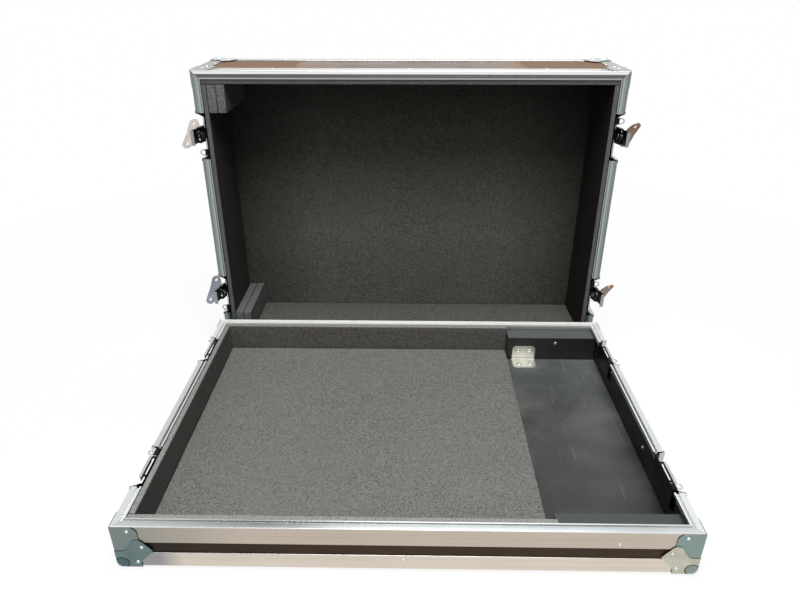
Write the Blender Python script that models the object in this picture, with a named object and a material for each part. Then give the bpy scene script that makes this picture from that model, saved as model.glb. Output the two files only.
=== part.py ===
"""Flight case for a mixer: a shallow base tray with its lift-off lid standing on edge behind it.

The base rests on four ball corners. The lid stands on its rear wall, a hand's breadth behind the base,
with its open side to the front. Four butterfly latches sit in dishes in the lid's side walls, released,
and their keepers sit in the base's side walls.

Each half is a shell of laminated plywood panels. Its own frame has x across the case, the case's front
at -y, and z away from the plane where the halves meet. Each latch has a frame of its own on the outer
face of the side wall: x outwards, y along the wall, z away from the meeting plane.
"""

import math

import bmesh
import bpy
from mathutils import Vector

# Overall sizes in metres
CASE_WIDTH = 0.950
CASE_DEPTH = 0.685
BASE_HEIGHT = 0.0875
LID_HEIGHT = 0.200
STAND_GAP = 0.030
GAP = 0.0003
RUNNING_FIT = 0.0001
OVERRUN = 0.004

# Plywood panels, set a little inside the outer face of the aluminium
PANEL = 0.009
PANEL_INSET = 0.0018

# Aluminium angle along the outer edges
ANGLE_LEG = 0.030
ANGLE_WALL = 0.0015

# Rim extrusion where the halves meet: tongue on the lid, groove on the base
RIM_WIDTH = 0.019
RIM_LEG = 0.0348
RIM_WALL = 0.0015
RIM_HEAD = 0.0057
RIM_SHOULDER = 0.0100
RIM_FLANGE = 0.0111
RIM_FLANGE_DEPTH = 0.021
RIM_EDGE = 0.0012
TONGUE_FROM = 0.0120
TONGUE_WIDE = 0.0035
TONGUE_TALL = 0.0035
GROOVE_SLACK = 0.0005

# Ball corners and braces
BALL_RADIUS = 0.0145
BALL_INSET = 0.0085
BALL_SEGMENTS = 16
BALL_RINGS = 10
WING_REACH = 0.0625
WALL_WING_SHARES = (
    (0.00, 0.00), (0.63, 0.00), (0.63, 0.16), (0.73, 0.27), (0.86, 0.39), (1.00, 0.565), (0.90, 0.71), (0.77, 0.865),
    (0.67, 0.96), (0.54, 0.945), (0.47, 0.87), (0.41, 0.74), (0.295, 0.60), (0.20, 0.55), (0.00, 0.55),
)
FACE_WING_SHARES = (
    (0.00, 0.00), (0.63, 0.00), (0.63, 0.16), (0.73, 0.27), (0.86, 0.41), (0.97, 0.58), (0.90, 0.73),
    (0.73, 0.90), (0.58, 0.97), (0.41, 0.86), (0.27, 0.73), (0.16, 0.63), (0.00, 0.63),
)
PLATE = 0.0010
WING_PLATE = 0.0018
BRACE_WIDE = 0.043
BRACE_SET = 0.0014
BRACE_ROUND = 0.013
BRACE_STEPS = 4
BRACE_TALL = 0.058
LONG_BRACE_TALL = 0.070
CORNER_BEVEL_SHARES = {"x": (0.50, 0.90), "y": (0.46, 0.86), "z": (0.42, 0.82)}

# Foam lining
FOAM_REACH = 0.0295
FOAM_SET = 0.0010
FOAM_BACK = 0.012
FLOOR_FOAM = 0.012
FOAM_BLOCK_WIDE = 0.043
FOAM_BLOCK_TALL = 0.062

# Cable bay in the right part of the base, with a wooden block at each end
BAY_FROM = 0.247
BAY_BLOCK_REACH = 0.056
BAY_BLOCK_DROP = 0.0155
BRACKET_WIDE = 0.057
BRACKET_TALL = 0.038
BRACKET_DEEP = 0.040
BRACKET_PLATE = 0.002
BRACKET_ROUND = 0.009
BRACKET_SET = 0.012

# Latch dishes, half in the lid and half in the base
LATCH_FROM_END = 0.1425
DISH_HALF = 0.0517
DISH_TALL = 0.0497
DISH_DEEP = 0.0180
DISH_DRAFT = 0.0070
DISH_PLATE = 0.0013
DISH_FLANGE = 0.0055
EYE_OFFSET = 0.0365
EYE_DEPTH = 0.0050
EYE_RADIUS = 0.0075
EYE_HOLE = 0.0042
EYE_PLATE = 0.0015
EYE_STEPS = 12

# Keeper shelf in the base's dish, with a skirt at its outer edge that the claw hooks under
SHELF_EDGE = 0.0047
SHELF_PLATE = 0.0024
SHELF_HALF = 0.026
SKIRT_TALL = 0.0120
SKIRT_PLATE = 0.0024
SLOT_HALF = 0.022
SLOT_WIDE = 0.0040
SLOT_BACK = 0.0005

# Latch carrier, which swings out on a pin at the back of the dish
RELEASED_TILT = math.radians(14)
PIVOT_DEPTH = 0.0075
PIVOT_BACK = 0.0410
PIVOT_KNUCKLE = 0.0028
PIVOT_PIN = 0.0014
CARRIER_HALF = 0.012
CARRIER_PLATE = 0.0015
CARRIER_LENGTH = 0.0325
LUG_PLATE = 0.0018
LUG_RADIUS = 0.0030
GUIDE_FROM = 0.0100
GUIDE_PLATE = 0.0012

# Spindle with its eccentric, and the claw that the eccentric drives
SPINDLE_BACK = 0.0215
JOURNAL_RADIUS = 0.0032
COLLAR_RADIUS = 0.0068
COLLAR_PLATE = 0.0020
CAM_RADIUS = 0.0086
CAM_THROW = 0.0052
CLAW_HALF = 0.0165
CLAW_PLATE = 0.0018
CLAW_LIFT = 0.0033
CLAW_TIP = PIVOT_BACK + 2 * CAM_THROW + CLAW_PLATE + SKIRT_TALL + 2 * GAP
CLAW_TAIL = 0.0080
CLAW_LIP = 0.0068
CLAW_SLOT_SLACK = 0.0013
ROUND_STEPS = 16

# Butterfly wing, hinged in the spindle's head
LEFT_WING_TURN = math.radians(45)
RIGHT_WING_TURN = math.radians(36)
HEAD_LIFT = 0.0054
HEAD_RADIUS = 0.0110
HEAD_PLATE = 0.0012
HEAD_BAR_WIDE = 0.0062
WING_AXIS = 0.0108
WING_PIN = 0.0013
EAR_FROM = 0.0100
EAR_PLATE = 0.0016
EAR_RADIUS = 0.0026
WING_BARREL = 0.0026
WING_PLATE_THICK = 0.0020
LOBE_SPREAD = 0.0270
LOBE_OUT = 0.0200
LOBE_RADIUS = 0.0120
LOBE_HOLE = 0.0038
LOBE_STEPS = 6
WAIST_HALF = 0.0150
WAIST_IN = 0.0020
HOLE_STEPS = 10

# Where the frames of the two halves lie
PROUD = BALL_RADIUS - BALL_INSET
RIM_HEIGHT = PROUD + BASE_HEIGHT
HALF_WIDTH = CASE_WIDTH / 2
HALF_DEPTH = CASE_DEPTH / 2
LATCH_Y = HALF_DEPTH - LATCH_FROM_END
BASE_Y = -(STAND_GAP + LID_HEIGHT) / 2
LID_Y = BASE_Y + HALF_DEPTH + STAND_GAP
LID_MIDDLE = PROUD + HALF_DEPTH
PANEL_INNER = PANEL_INSET + PANEL
CORNER_TRIM = PANEL_INNER
RIM_INNER = RIM_FLANGE + RIM_WALL
CUT_HALF = DISH_HALF + GAP


# Materials

def material(name, colour, roughness, metallic):
    found = bpy.data.materials.new(name)
    found.use_nodes = True
    shader = found.node_tree.nodes["Principled BSDF"]
    shader.inputs["Base Color"].default_value = (*colour, 1.0)
    shader.inputs["Roughness"].default_value = roughness
    shader.inputs["Metallic"].default_value = metallic
    return found


# Shapes

def prism(outline, low, high, axis):
    """A straight solid over a flat outline, whose points lie in the two axes other than the given one."""
    places = {
        "x": lambda a, b, along: (along, a, b),
        "y": lambda a, b, along: (a, along, b),
        "z": lambda a, b, along: (a, b, along),
    }
    mesh = bmesh.new()
    rings = []
    for along in (low, high):
        rings.append([mesh.verts.new(places[axis](a, b, along)) for a, b in outline])
    close_rings(mesh, rings)
    return mesh


def box(low, high):
    """A box between two opposite corners."""
    outline = ((low[0], low[1]), (high[0], low[1]), (high[0], high[1]), (low[0], high[1]))
    return prism(outline, low[2], high[2], "z")


def frustum(low_half, high_half, low_x, high_x, low_top, high_top, bottom):
    """A tapered block along x, flat at z = bottom, with its own half length and top at each end."""
    mesh = bmesh.new()
    rings = []
    for x, half, top in ((low_x, low_half, low_top), (high_x, high_half, high_top)):
        corners = ((-half, bottom), (half, bottom), (half, top), (-half, top))
        rings.append([mesh.verts.new((x, y, z)) for y, z in corners])
    close_rings(mesh, rings)
    return mesh


def turned(profile, steps, centre=(0.0, 0.0)):
    """A solid turned about an axis along x: the profile gives (x, radius), and centre gives the axis (y, z)."""
    mesh = bmesh.new()
    rings = []
    for x, radius in profile:
        ring = []
        for step in range(steps):
            angle = math.tau * step / steps
            y = centre[0] + radius * math.cos(angle)
            z = centre[1] + radius * math.sin(angle)
            ring.append(mesh.verts.new((x, y, z)))
        rings.append(ring)
    close_rings(mesh, rings)
    return mesh


def swept(stations, profile, closed=False):
    """A rim profile of (inset, depth) points carried along stations of (x, y, inward x, inward y)."""
    mesh = bmesh.new()
    rings = []
    for x, y, in_x, in_y in stations:
        rings.append([mesh.verts.new((x + in_x * inset, y + in_y * inset, depth)) for inset, depth in profile])
    close_rings(mesh, rings, closed)
    return mesh


def close_rings(mesh, rings, closed=False):
    """Skin a row of rings of equal length, and cap both ends unless the row closes on itself."""
    count = len(rings[0])
    pairs = list(zip(rings, rings[1:]))
    if closed:
        pairs.append((rings[-1], rings[0]))
    else:
        mesh.faces.new(rings[0])
        mesh.faces.new(rings[-1])
    for first, second in pairs:
        for index in range(count):
            after = (index + 1) % count
            mesh.faces.new((first[index], first[after], second[after], second[index]))
    bmesh.ops.recalc_face_normals(mesh, faces=mesh.faces)


def arc(centre, radius, start, end, steps):
    """Points along an arc, with angles in radians."""
    points = []
    for step in range(steps + 1):
        angle = start + (end - start) * step / steps
        points.append((centre[0] + radius * math.cos(angle), centre[1] + radius * math.sin(angle)))
    return points


# Objects

def frame(name, parent=None, location=(0.0, 0.0, 0.0), rotation=(0.0, 0.0, 0.0)):
    empty = bpy.data.objects.new(name, None)
    bpy.context.scene.collection.objects.link(empty)
    empty.parent = parent
    empty.location = location
    empty.rotation_euler = rotation
    return empty


def piece(name, mesh, parent, finish=None, round_shape=False):
    data = bpy.data.meshes.new(name)
    mesh.to_mesh(data)
    mesh.free()
    if finish:
        data.materials.append(finish)
    if round_shape:
        data.shade_smooth()
        data.set_sharp_from_angle(angle=math.radians(35))
    made = bpy.data.objects.new(name, data)
    bpy.context.scene.collection.objects.link(made)
    made.parent = parent
    return made


def combine(target, operation, mesh, label, round_shape=False):
    """Cut a mesh out of an object, or join it on, with a Boolean in the object's own frame."""
    tool = piece(f"{target.name}_{label}", mesh, target.parent, round_shape=round_shape)
    tool.hide_render = True
    tool.display_type = "WIRE"
    modifier = target.modifiers.new(label, "BOOLEAN")
    modifier.operation = operation
    modifier.solver = "EXACT"
    modifier.object = tool


def cut(target, mesh, label):
    combine(target, "DIFFERENCE", mesh, label)


def join(target, mesh, label, round_shape=False):
    combine(target, "UNION", mesh, label, round_shape)


# Panels, rims and edge angles of one half

def rim_profile(tongue):
    """The rim extrusion's section: outer leg, channel for the panel, and a tongue or a groove on its head."""
    tongue_to = TONGUE_FROM + TONGUE_WIDE
    if tongue:
        feature = (
            (TONGUE_FROM, 0.0),
            (TONGUE_FROM, -TONGUE_TALL),
            (tongue_to, -TONGUE_TALL),
            (tongue_to, 0.0),
        )
    else:
        deep = TONGUE_TALL + GROOVE_SLACK
        feature = (
            (TONGUE_FROM - GROOVE_SLACK, 0.0),
            (TONGUE_FROM - GROOVE_SLACK, deep),
            (tongue_to + GROOVE_SLACK, deep),
            (tongue_to + GROOVE_SLACK, 0.0),
        )
    return (
        (0.0, RIM_LEG),
        (0.0, RIM_EDGE),
        (RIM_EDGE, 0.0),
        *feature,
        (RIM_WIDTH, 0.0),
        (RIM_WIDTH, RIM_HEAD),
        (RIM_INNER, RIM_HEAD),
        (RIM_INNER, RIM_FLANGE_DEPTH),
        (RIM_FLANGE, RIM_FLANGE_DEPTH),
        (RIM_FLANGE, RIM_HEAD),
        (RIM_SHOULDER, RIM_HEAD),
        (RIM_SHOULDER, RIM_WALL),
        (RIM_WALL, RIM_WALL),
        (RIM_WALL, RIM_LEG),
    )


def latch_cut(side, along):
    """The notch that a dish needs in a side panel, in the half's frame."""
    outer = side * (HALF_WIDTH + OVERRUN)
    inner = side * (HALF_WIDTH - PANEL_INNER - OVERRUN)
    low = (min(outer, inner), along * LATCH_Y - CUT_HALF, -OVERRUN)
    high = (max(outer, inner), along * LATCH_Y + CUT_HALF, DISH_TALL + GAP)
    return box(low, high)


def corner_trim(side, along, height):
    """The tip of a closed corner, which the ball corner fills."""
    near = (side * (HALF_WIDTH - CORNER_TRIM), along * (HALF_DEPTH - CORNER_TRIM), height - CORNER_TRIM)
    past = (side * (HALF_WIDTH + OVERRUN), along * (HALF_DEPTH + OVERRUN), height + OVERRUN)
    return box([min(pair) for pair in zip(near, past)], [max(pair) for pair in zip(near, past)])


def panels(half, names, height, floor_name):
    """Four wall panels in the rim's channel, and the panel that closes the half."""
    top = RIM_HEAD + GAP
    bottom = height - PANEL_INSET
    for side, word in names.items():
        outer = side * (HALF_WIDTH - PANEL_INSET)
        inner = side * (HALF_WIDTH - PANEL_INNER)
        low = (min(outer, inner), -HALF_DEPTH + PANEL_INSET, top)
        high = (max(outer, inner), HALF_DEPTH - PANEL_INSET, bottom)
        wall = piece(f"{half.name}_{word}_panel", box(low, high), half, PLYWOOD)
        for along, end in ((-1, "front"), (1, "rear")):
            cut(wall, latch_cut(side, along), f"latch_notch_{end}")
            cut(wall, corner_trim(side, along, height), f"corner_trim_{end}")
    span = HALF_WIDTH - PANEL_INNER - GAP
    for side, word in ((-1, "front"), (1, "rear")):
        outer = side * (HALF_DEPTH - PANEL_INSET)
        inner = side * (HALF_DEPTH - PANEL_INNER)
        low = (-span, min(outer, inner), top)
        high = (span, max(outer, inner), bottom)
        piece(f"{half.name}_{word}_panel", box(low, high), half, PLYWOOD)
    depth = HALF_DEPTH - PANEL_INNER - GAP
    piece(
        f"{half.name}_{floor_name}_panel",
        box((-span, -depth, bottom - PANEL), (span, depth, bottom)),
        half,
        PLYWOOD,
    )


def rims(half, names, tongue, braces):
    """Two mitred rims that turn the corners to the latch gaps, and a short one between the gaps on each side."""
    profile = rim_profile(tongue)
    near = LATCH_Y + CUT_HALF
    far = LATCH_Y - CUT_HALF
    for along, word in ((-1, "front"), (1, "rear")):
        stations = (
            (HALF_WIDTH, along * near, -1, 0),
            (HALF_WIDTH, along * HALF_DEPTH, -1, -along),
            (-HALF_WIDTH, along * HALF_DEPTH, 1, -along),
            (-HALF_WIDTH, along * near, 1, 0),
        )
        rim = piece(f"{half.name}_{word}_rim", swept(stations, profile), half, ALUMINIUM)
        if braces:
            for side in (-1, 1):
                rim_brace(rim, side, along, names[side])
    for side, word in names.items():
        stations = ((side * HALF_WIDTH, -far, -side, 0), (side * HALF_WIDTH, far, -side, 0))
        piece(f"{half.name}_{word}_rim", swept(stations, profile), half, ALUMINIUM)


def edge_angles(half, height):
    """The angles along the closed edges and up the four corners, as one frame."""
    top = RIM_LEG + GAP
    span = HALF_WIDTH - ANGLE_WALL
    depth = HALF_DEPTH - ANGLE_WALL
    window_x = HALF_WIDTH - ANGLE_LEG
    window_y = HALF_DEPTH - ANGLE_LEG
    window_z = height - ANGLE_LEG
    past_x = HALF_WIDTH + OVERRUN
    past_y = HALF_DEPTH + OVERRUN
    past_top = top - OVERRUN
    angles = piece(
        f"{half.name}_edge_angles",
        box((-HALF_WIDTH, -HALF_DEPTH, top), (HALF_WIDTH, HALF_DEPTH, height)),
        half,
        ALUMINIUM,
    )
    cut(angles, box((-span, -depth, past_top), (span, depth, height - ANGLE_WALL)), "inside")
    cut(angles, box((-past_x, -window_y, past_top), (past_x, window_y, window_z)), "side_windows")
    cut(angles, box((-window_x, -past_y, past_top), (window_x, past_y, window_z)), "end_windows")
    cut(angles, box((-window_x, -window_y, past_top), (window_x, window_y, height + OVERRUN)), "face_window")
    for side in (-1, 1):
        for along in (-1, 1):
            cut(angles, corner_trim(side, along, height), f"corner_trim_{side + 1}_{along + 1}")


# Corner hardware

def corner_plate(corner, facing, outline, outer, inner):
    """A flat plate on one face of a corner, from its outer to its inner distance behind that face.

    The corner is a point and the direction into the case along each axis. The outline gives distances from
    the corner along the other two axes, and a distance of nought reaches round the edge, with a bevel.
    """
    point, inward = corner
    mesh = bmesh.new()
    rings = []
    for inset, reach in zip((outer, inner), CORNER_BEVEL_SHARES[facing]):
        ring = []
        for a, b in outline:
            first = a if a > 0 else outer * reach
            second = b if b > 0 else outer * reach
            places = {"x": (inset, first, second), "y": (first, inset, second), "z": (first, second, inset)}
            ring.append(mesh.verts.new([p + d * q for p, d, q in zip(point, inward, places[facing])]))
        rings.append(ring)
    close_rings(mesh, rings)
    return mesh


def brace_outline(tall):
    """A plate with two rounded free corners, below the rim."""
    middle = BRACE_WIDE - BRACE_ROUND
    outline = [(0.0, BRACE_SET)]
    outline += arc((middle, BRACE_SET + BRACE_ROUND), BRACE_ROUND, -math.pi / 2, 0.0, BRACE_STEPS)
    outline += arc((middle, tall - BRACE_ROUND), BRACE_ROUND, 0.0, math.pi / 2, BRACE_STEPS)
    outline.append((0.0, tall))
    return outline


def rim_brace(rim, side, along, end):
    """A brace bent round a rim's corner: bedded in the rim's leg, and clear of the angle below it."""
    corner = (
        (side * HALF_WIDTH, along * HALF_DEPTH, 0.0),
        (-side, -along, 1),
    )
    bed = RIM_LEG - BRACE_SET
    foot = (
        (0.0, BRACE_SET),
        (BRACE_WIDE - BRACE_ROUND, BRACE_SET),
        (BRACE_WIDE - BRACE_ROUND, bed),
        (0.0, bed),
    )
    for facing in ("x", "y"):
        join(rim, corner_plate(corner, facing, foot, -GAP - PLATE / 2, RIM_WALL / 2), f"bed_{end}_{facing}")
        plate = corner_plate(corner, facing, brace_outline(BRACE_TALL), -GAP - PLATE, -GAP)
        join(rim, plate, f"brace_{end}_{facing}")


def ball(side, along, height):
    """The ball of a corner, a round body whose centre lies inside the case's corner."""
    mesh = bmesh.new()
    bmesh.ops.create_uvsphere(mesh, u_segments=BALL_SEGMENTS, v_segments=BALL_RINGS, radius=BALL_RADIUS)
    centre = Vector((
        side * (HALF_WIDTH - BALL_INSET),
        along * (HALF_DEPTH - BALL_INSET),
        height - BALL_INSET,
    ))
    bmesh.ops.translate(mesh, verts=mesh.verts, vec=centre)
    return mesh


def ball_corner(half, name, side, along, height, with_brace):
    """Three wings round a closed corner and the ball in their midst, hollowed by the case with a clearance."""
    closed = ((side * HALF_WIDTH, along * HALF_DEPTH, height), (-side, -along, -1))
    wings = {}
    for facing in ("x", "y", "z"):
        shares = FACE_WING_SHARES if facing == "z" else WALL_WING_SHARES
        outline = [(a * WING_REACH, b * WING_REACH) for a, b in shares]
        wings[facing] = corner_plate(closed, facing, outline, -GAP - WING_PLATE, PANEL_INSET)
    corner = piece(name, wings["x"], half, ZINC)
    join(corner, wings["y"], "wing_y")
    join(corner, wings["z"], "wing_z")
    cut(corner, corner_trim(side, along, height), "ball_seat")
    join(corner, ball(side, along, height), "ball", round_shape=True)
    if with_brace:
        opened = ((side * HALF_WIDTH, along * HALF_DEPTH, 0.0), (-side, -along, 1))
        for facing in ("x", "y"):
            plate = corner_plate(opened, facing, brace_outline(LONG_BRACE_TALL), -GAP - PLATE, ANGLE_WALL)
            join(corner, plate, f"brace_{facing}")
    span = HALF_WIDTH + GAP
    depth = HALF_DEPTH + GAP
    trim = CORNER_TRIM - GAP
    for axis in range(3):
        low = [-span, -depth, -OVERRUN]
        high = [span, depth, height + GAP]
        if axis == 0:
            low[0], high[0] = (low[0], span - GAP - trim) if side > 0 else (GAP + trim - span, high[0])
        elif axis == 1:
            low[1], high[1] = (low[1], depth - GAP - trim) if along > 0 else (GAP + trim - depth, high[1])
        else:
            high[2] = height - trim
        cut(corner, box(low, high), f"case_past_{'xyz'[axis]}")


# Latch dishes and keepers

def eye(sign):
    """The padlock eye: a tongue of the dish at the meeting plane, rounded round its hole."""
    low = EYE_OFFSET - EYE_RADIUS
    high = EYE_OFFSET + EYE_RADIUS
    outline = [(-DISH_DEEP + DISH_PLATE / 2, sign * low)]
    outline += [(-EYE_DEPTH + x, sign * (EYE_OFFSET + y)) for x, y in arc(
        (0.0, 0.0), EYE_RADIUS, -math.pi / 2, math.pi / 2, EYE_STEPS // 2
    )]
    outline += [(-DISH_DEEP + DISH_PLATE / 2, sign * high)]
    return prism(outline, GAP, GAP + EYE_PLATE, "z")


def eye_hole(sign):
    circle = [(-EYE_DEPTH + x, sign * EYE_OFFSET + y) for x, y in arc(
        (0.0, 0.0), EYE_HOLE, 0.0, math.tau * (1 - 1 / EYE_STEPS), EYE_STEPS - 1
    )]
    return prism(circle, GAP - OVERRUN, GAP + EYE_PLATE + OVERRUN, "z")


def dish(latch, name, sign):
    """A pressed dish, open at the meeting plane, with a flange on the wall's face and a padlock eye."""
    rim_half = DISH_HALF + DISH_FLANGE
    rim_top = DISH_TALL + DISH_FLANGE
    floor_half = DISH_HALF - DISH_DRAFT
    floor_top = DISH_TALL - DISH_DRAFT
    made = piece(
        name,
        frustum(floor_half, DISH_HALF, -DISH_DEEP, GAP + DISH_PLATE, floor_top, DISH_TALL, GAP),
        latch,
        ZINC,
    )
    join(made, box((GAP, -rim_half, GAP), (GAP + DISH_PLATE, rim_half, rim_top)), "flange")
    wall = DISH_PLATE
    cut(
        made,
        frustum(
            floor_half - wall,
            DISH_HALF - wall + DISH_DRAFT * OVERRUN / DISH_DEEP,
            -DISH_DEEP + wall,
            GAP + DISH_PLATE + OVERRUN,
            floor_top - wall,
            DISH_TALL - wall + DISH_DRAFT * OVERRUN / DISH_DEEP,
            -OVERRUN,
        ),
        "hollow",
    )
    join(made, eye(sign), "eye")
    cut(made, eye_hole(sign), "eye_hole")
    return made


def keeper(latch, name):
    """The base's dish, with a slotted shelf at the meeting plane and the skirt that the claw hooks under."""
    made = dish(latch, name, 1)
    back = -DISH_DEEP + DISH_PLATE / 2
    join(made, box((back, -SHELF_HALF, GAP), (-SHELF_EDGE, SHELF_HALF, GAP + SHELF_PLATE)), "shelf")
    skirt_low = -SHELF_EDGE - SKIRT_PLATE
    join(made, box((skirt_low, -SHELF_HALF, GAP), (-SHELF_EDGE, SHELF_HALF, GAP + SKIRT_TALL)), "skirt")
    slot_low = -DISH_DEEP + DISH_PLATE + SLOT_BACK
    cut(
        made,
        box((slot_low, -SLOT_HALF, GAP - OVERRUN), (slot_low + SLOT_WIDE, SLOT_HALF, GAP + SHELF_PLATE + GAP)),
        "slot",
    )


def lug(side):
    """One of the two ears on the dish's floor that hold the carrier's pin, with its bore."""
    start = side * (CARRIER_HALF + GAP)
    end = side * (CARRIER_HALF + GAP + LUG_PLATE)
    outline = [(-DISH_DEEP + DISH_PLATE / 2, PIVOT_BACK - LUG_RADIUS)]
    outline += [(-PIVOT_DEPTH + x, PIVOT_BACK + z) for x, z in arc(
        (0.0, 0.0), LUG_RADIUS, -math.pi / 2, 0.0, BRACE_STEPS
    )]
    outline += [(-PIVOT_DEPTH + x, PIVOT_BACK + z) for x, z in arc(
        (0.0, 0.0), LUG_RADIUS, 0.0, math.pi / 2, BRACE_STEPS
    )][1:]
    outline += [(-DISH_DEEP + DISH_PLATE / 2, PIVOT_BACK + LUG_RADIUS - DISH_PLATE)]
    return prism(outline, min(start, end), max(start, end), "y")


def round_bar(centre, radius, low, high, steps):
    """A round bar along y."""
    circle = [(centre[0] + x, centre[1] + z) for x, z in arc(
        (0.0, 0.0), radius, 0.0, math.tau * (1 - 1 / steps), steps - 1
    )]
    return prism(circle, low, high, "y")


def lid_dish(latch, name):
    """The lid's dish, with the two lugs and their bores for the carrier's pin."""
    made = dish(latch, name, -1)
    for side in (-1, 1):
        join(made, lug(side), "lug_low" if side < 0 else "lug_high")
    reach = CARRIER_HALF + LUG_PLATE + OVERRUN
    cut(
        made,
        round_bar((-PIVOT_DEPTH, PIVOT_BACK), PIVOT_PIN + RUNNING_FIT, -reach, reach, HOLE_STEPS),
        "pin_bore",
    )


# Latch mechanism, in the carrier's frame: x outwards, y along the pin, z back from the pin

def carrier(swing, name):
    """Plate on the pivot pin that carries the spindle, with a cheek on each side that guides the claw."""
    made = piece(name, round_bar((0.0, 0.0), PIVOT_KNUCKLE, -CARRIER_HALF, CARRIER_HALF, HOLE_STEPS), swing, ZINC)
    half = CARRIER_PLATE / 2
    join(made, box((-half, -CARRIER_HALF, -CARRIER_LENGTH), (half, CARRIER_HALF, 0.0)), "plate")
    inner = CLAW_HALF + GAP
    outer = inner + GUIDE_PLATE
    cheek_top = CLAW_LIFT + CLAW_PLATE
    cradle = (
        (-outer, -half),
        (outer, -half),
        (outer, cheek_top),
        (inner, cheek_top),
        (inner, half),
        (-inner, half),
        (-inner, cheek_top),
        (-outer, cheek_top),
    )
    outline = [(x, y) for y, x in cradle]
    join(made, prism(outline, -CARRIER_LENGTH, -GUIDE_FROM, "z"), "cradle")
    pin_end = CARRIER_HALF + GAP + LUG_PLATE
    join(made, round_bar((0.0, 0.0), PIVOT_PIN, -pin_end, pin_end, HOLE_STEPS), "pin")
    bore = turned(
        ((-half - OVERRUN, JOURNAL_RADIUS + RUNNING_FIT), (half + OVERRUN, JOURNAL_RADIUS + RUNNING_FIT)),
        ROUND_STEPS,
        (0.0, -SPINDLE_BACK),
    )
    cut(made, bore, "spindle_bore")


def claw(swing, name):
    """Hook plate with a wide slot for the eccentric and a lip bent in at its tip."""
    inner = CLAW_LIFT
    outer = CLAW_LIFT + CLAW_PLATE
    outline = (
        (inner, -CLAW_TAIL),
        (outer, -CLAW_TAIL),
        (outer, -CLAW_TIP),
        (inner - CLAW_LIP, -CLAW_TIP),
        (inner - CLAW_LIP, -CLAW_TIP + CLAW_PLATE),
        (inner, -CLAW_TIP + CLAW_PLATE),
    )
    made = piece(name, prism(outline, -CLAW_HALF, CLAW_HALF, "y"), swing, DARK_STEEL)
    tall = CAM_RADIUS + CLAW_SLOT_SLACK
    wide = CAM_THROW + GAP - CLAW_SLOT_SLACK
    middle = -SPINDLE_BACK - CAM_THROW
    slot = arc((wide, middle), tall, -math.pi / 2, math.pi / 2, ROUND_STEPS // 2)
    slot += arc((-wide, middle), tall, math.pi / 2, math.pi * 1.5, ROUND_STEPS // 2)
    cut(made, prism(slot, inner - OVERRUN, outer + OVERRUN, "x"), "cam_slot")
    return made


def spindle(turn, name):
    """Collar, journal and eccentric in one, with a flange over the claw and the pin that the wing folds on."""
    half = CARRIER_PLATE / 2
    collar_top = -half - GAP
    cam_low = half + GAP
    head_top = HEAD_LIFT + HEAD_PLATE
    journal = (
        (collar_top - COLLAR_PLATE, COLLAR_RADIUS),
        (collar_top, COLLAR_RADIUS),
        (collar_top, JOURNAL_RADIUS),
        (HEAD_LIFT + HEAD_PLATE / 2, JOURNAL_RADIUS),
    )
    made = piece(name, turned(journal, ROUND_STEPS), turn, ZINC, round_shape=True)
    eccentric = (
        (cam_low, CAM_RADIUS),
        (HEAD_LIFT, CAM_RADIUS),
        (HEAD_LIFT, HEAD_RADIUS),
        (head_top, HEAD_RADIUS),
    )
    join(made, turned(eccentric, ROUND_STEPS, (0.0, -CAM_THROW)), "eccentric")
    ear_end = EAR_FROM + EAR_PLATE
    base_half = HEAD_BAR_WIDE / 2
    bar_end = ear_end - EAR_PLATE / 4
    bar_top = head_top + HEAD_PLATE / 4
    bar = box((HEAD_LIFT + HEAD_PLATE / 4, -bar_end, -base_half), (bar_top, bar_end, base_half))
    join(made, bar, "head_bar")
    for side in (-1, 1):
        outline = [(HEAD_LIFT + HEAD_PLATE / 2, -EAR_RADIUS)]
        outline += arc((WING_AXIS, 0.0), EAR_RADIUS, -math.pi / 2, math.pi / 2, BRACE_STEPS)
        outline += [(HEAD_LIFT + HEAD_PLATE / 2, EAR_RADIUS)]
        low = min(side * EAR_FROM, side * ear_end)
        high = max(side * EAR_FROM, side * ear_end)
        join(made, prism(outline, low, high, "y"), "ear_low" if side < 0 else "ear_high")
    middle = EAR_FROM + EAR_PLATE / 2
    join(made, round_bar((WING_AXIS, 0.0), WING_PIN, -middle, middle, HOLE_STEPS), "fold_pin")


def wing_plate_outline():
    """Two round lobes joined by a straight-sided plate with a slight waist, in (along the hinge, outwards)."""
    outline = [(WAIST_HALF, 0.0)]
    outline += arc((LOBE_SPREAD, LOBE_OUT), LOBE_RADIUS, -math.pi / 3, math.pi * 0.6, LOBE_STEPS)
    outline += [(0.0, LOBE_OUT + LOBE_RADIUS - WAIST_IN)]
    outline += arc((-LOBE_SPREAD, LOBE_OUT), LOBE_RADIUS, math.pi * 0.4, math.pi * 4 / 3, LOBE_STEPS)
    outline += [(-WAIST_HALF, 0.0)]
    return outline


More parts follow.
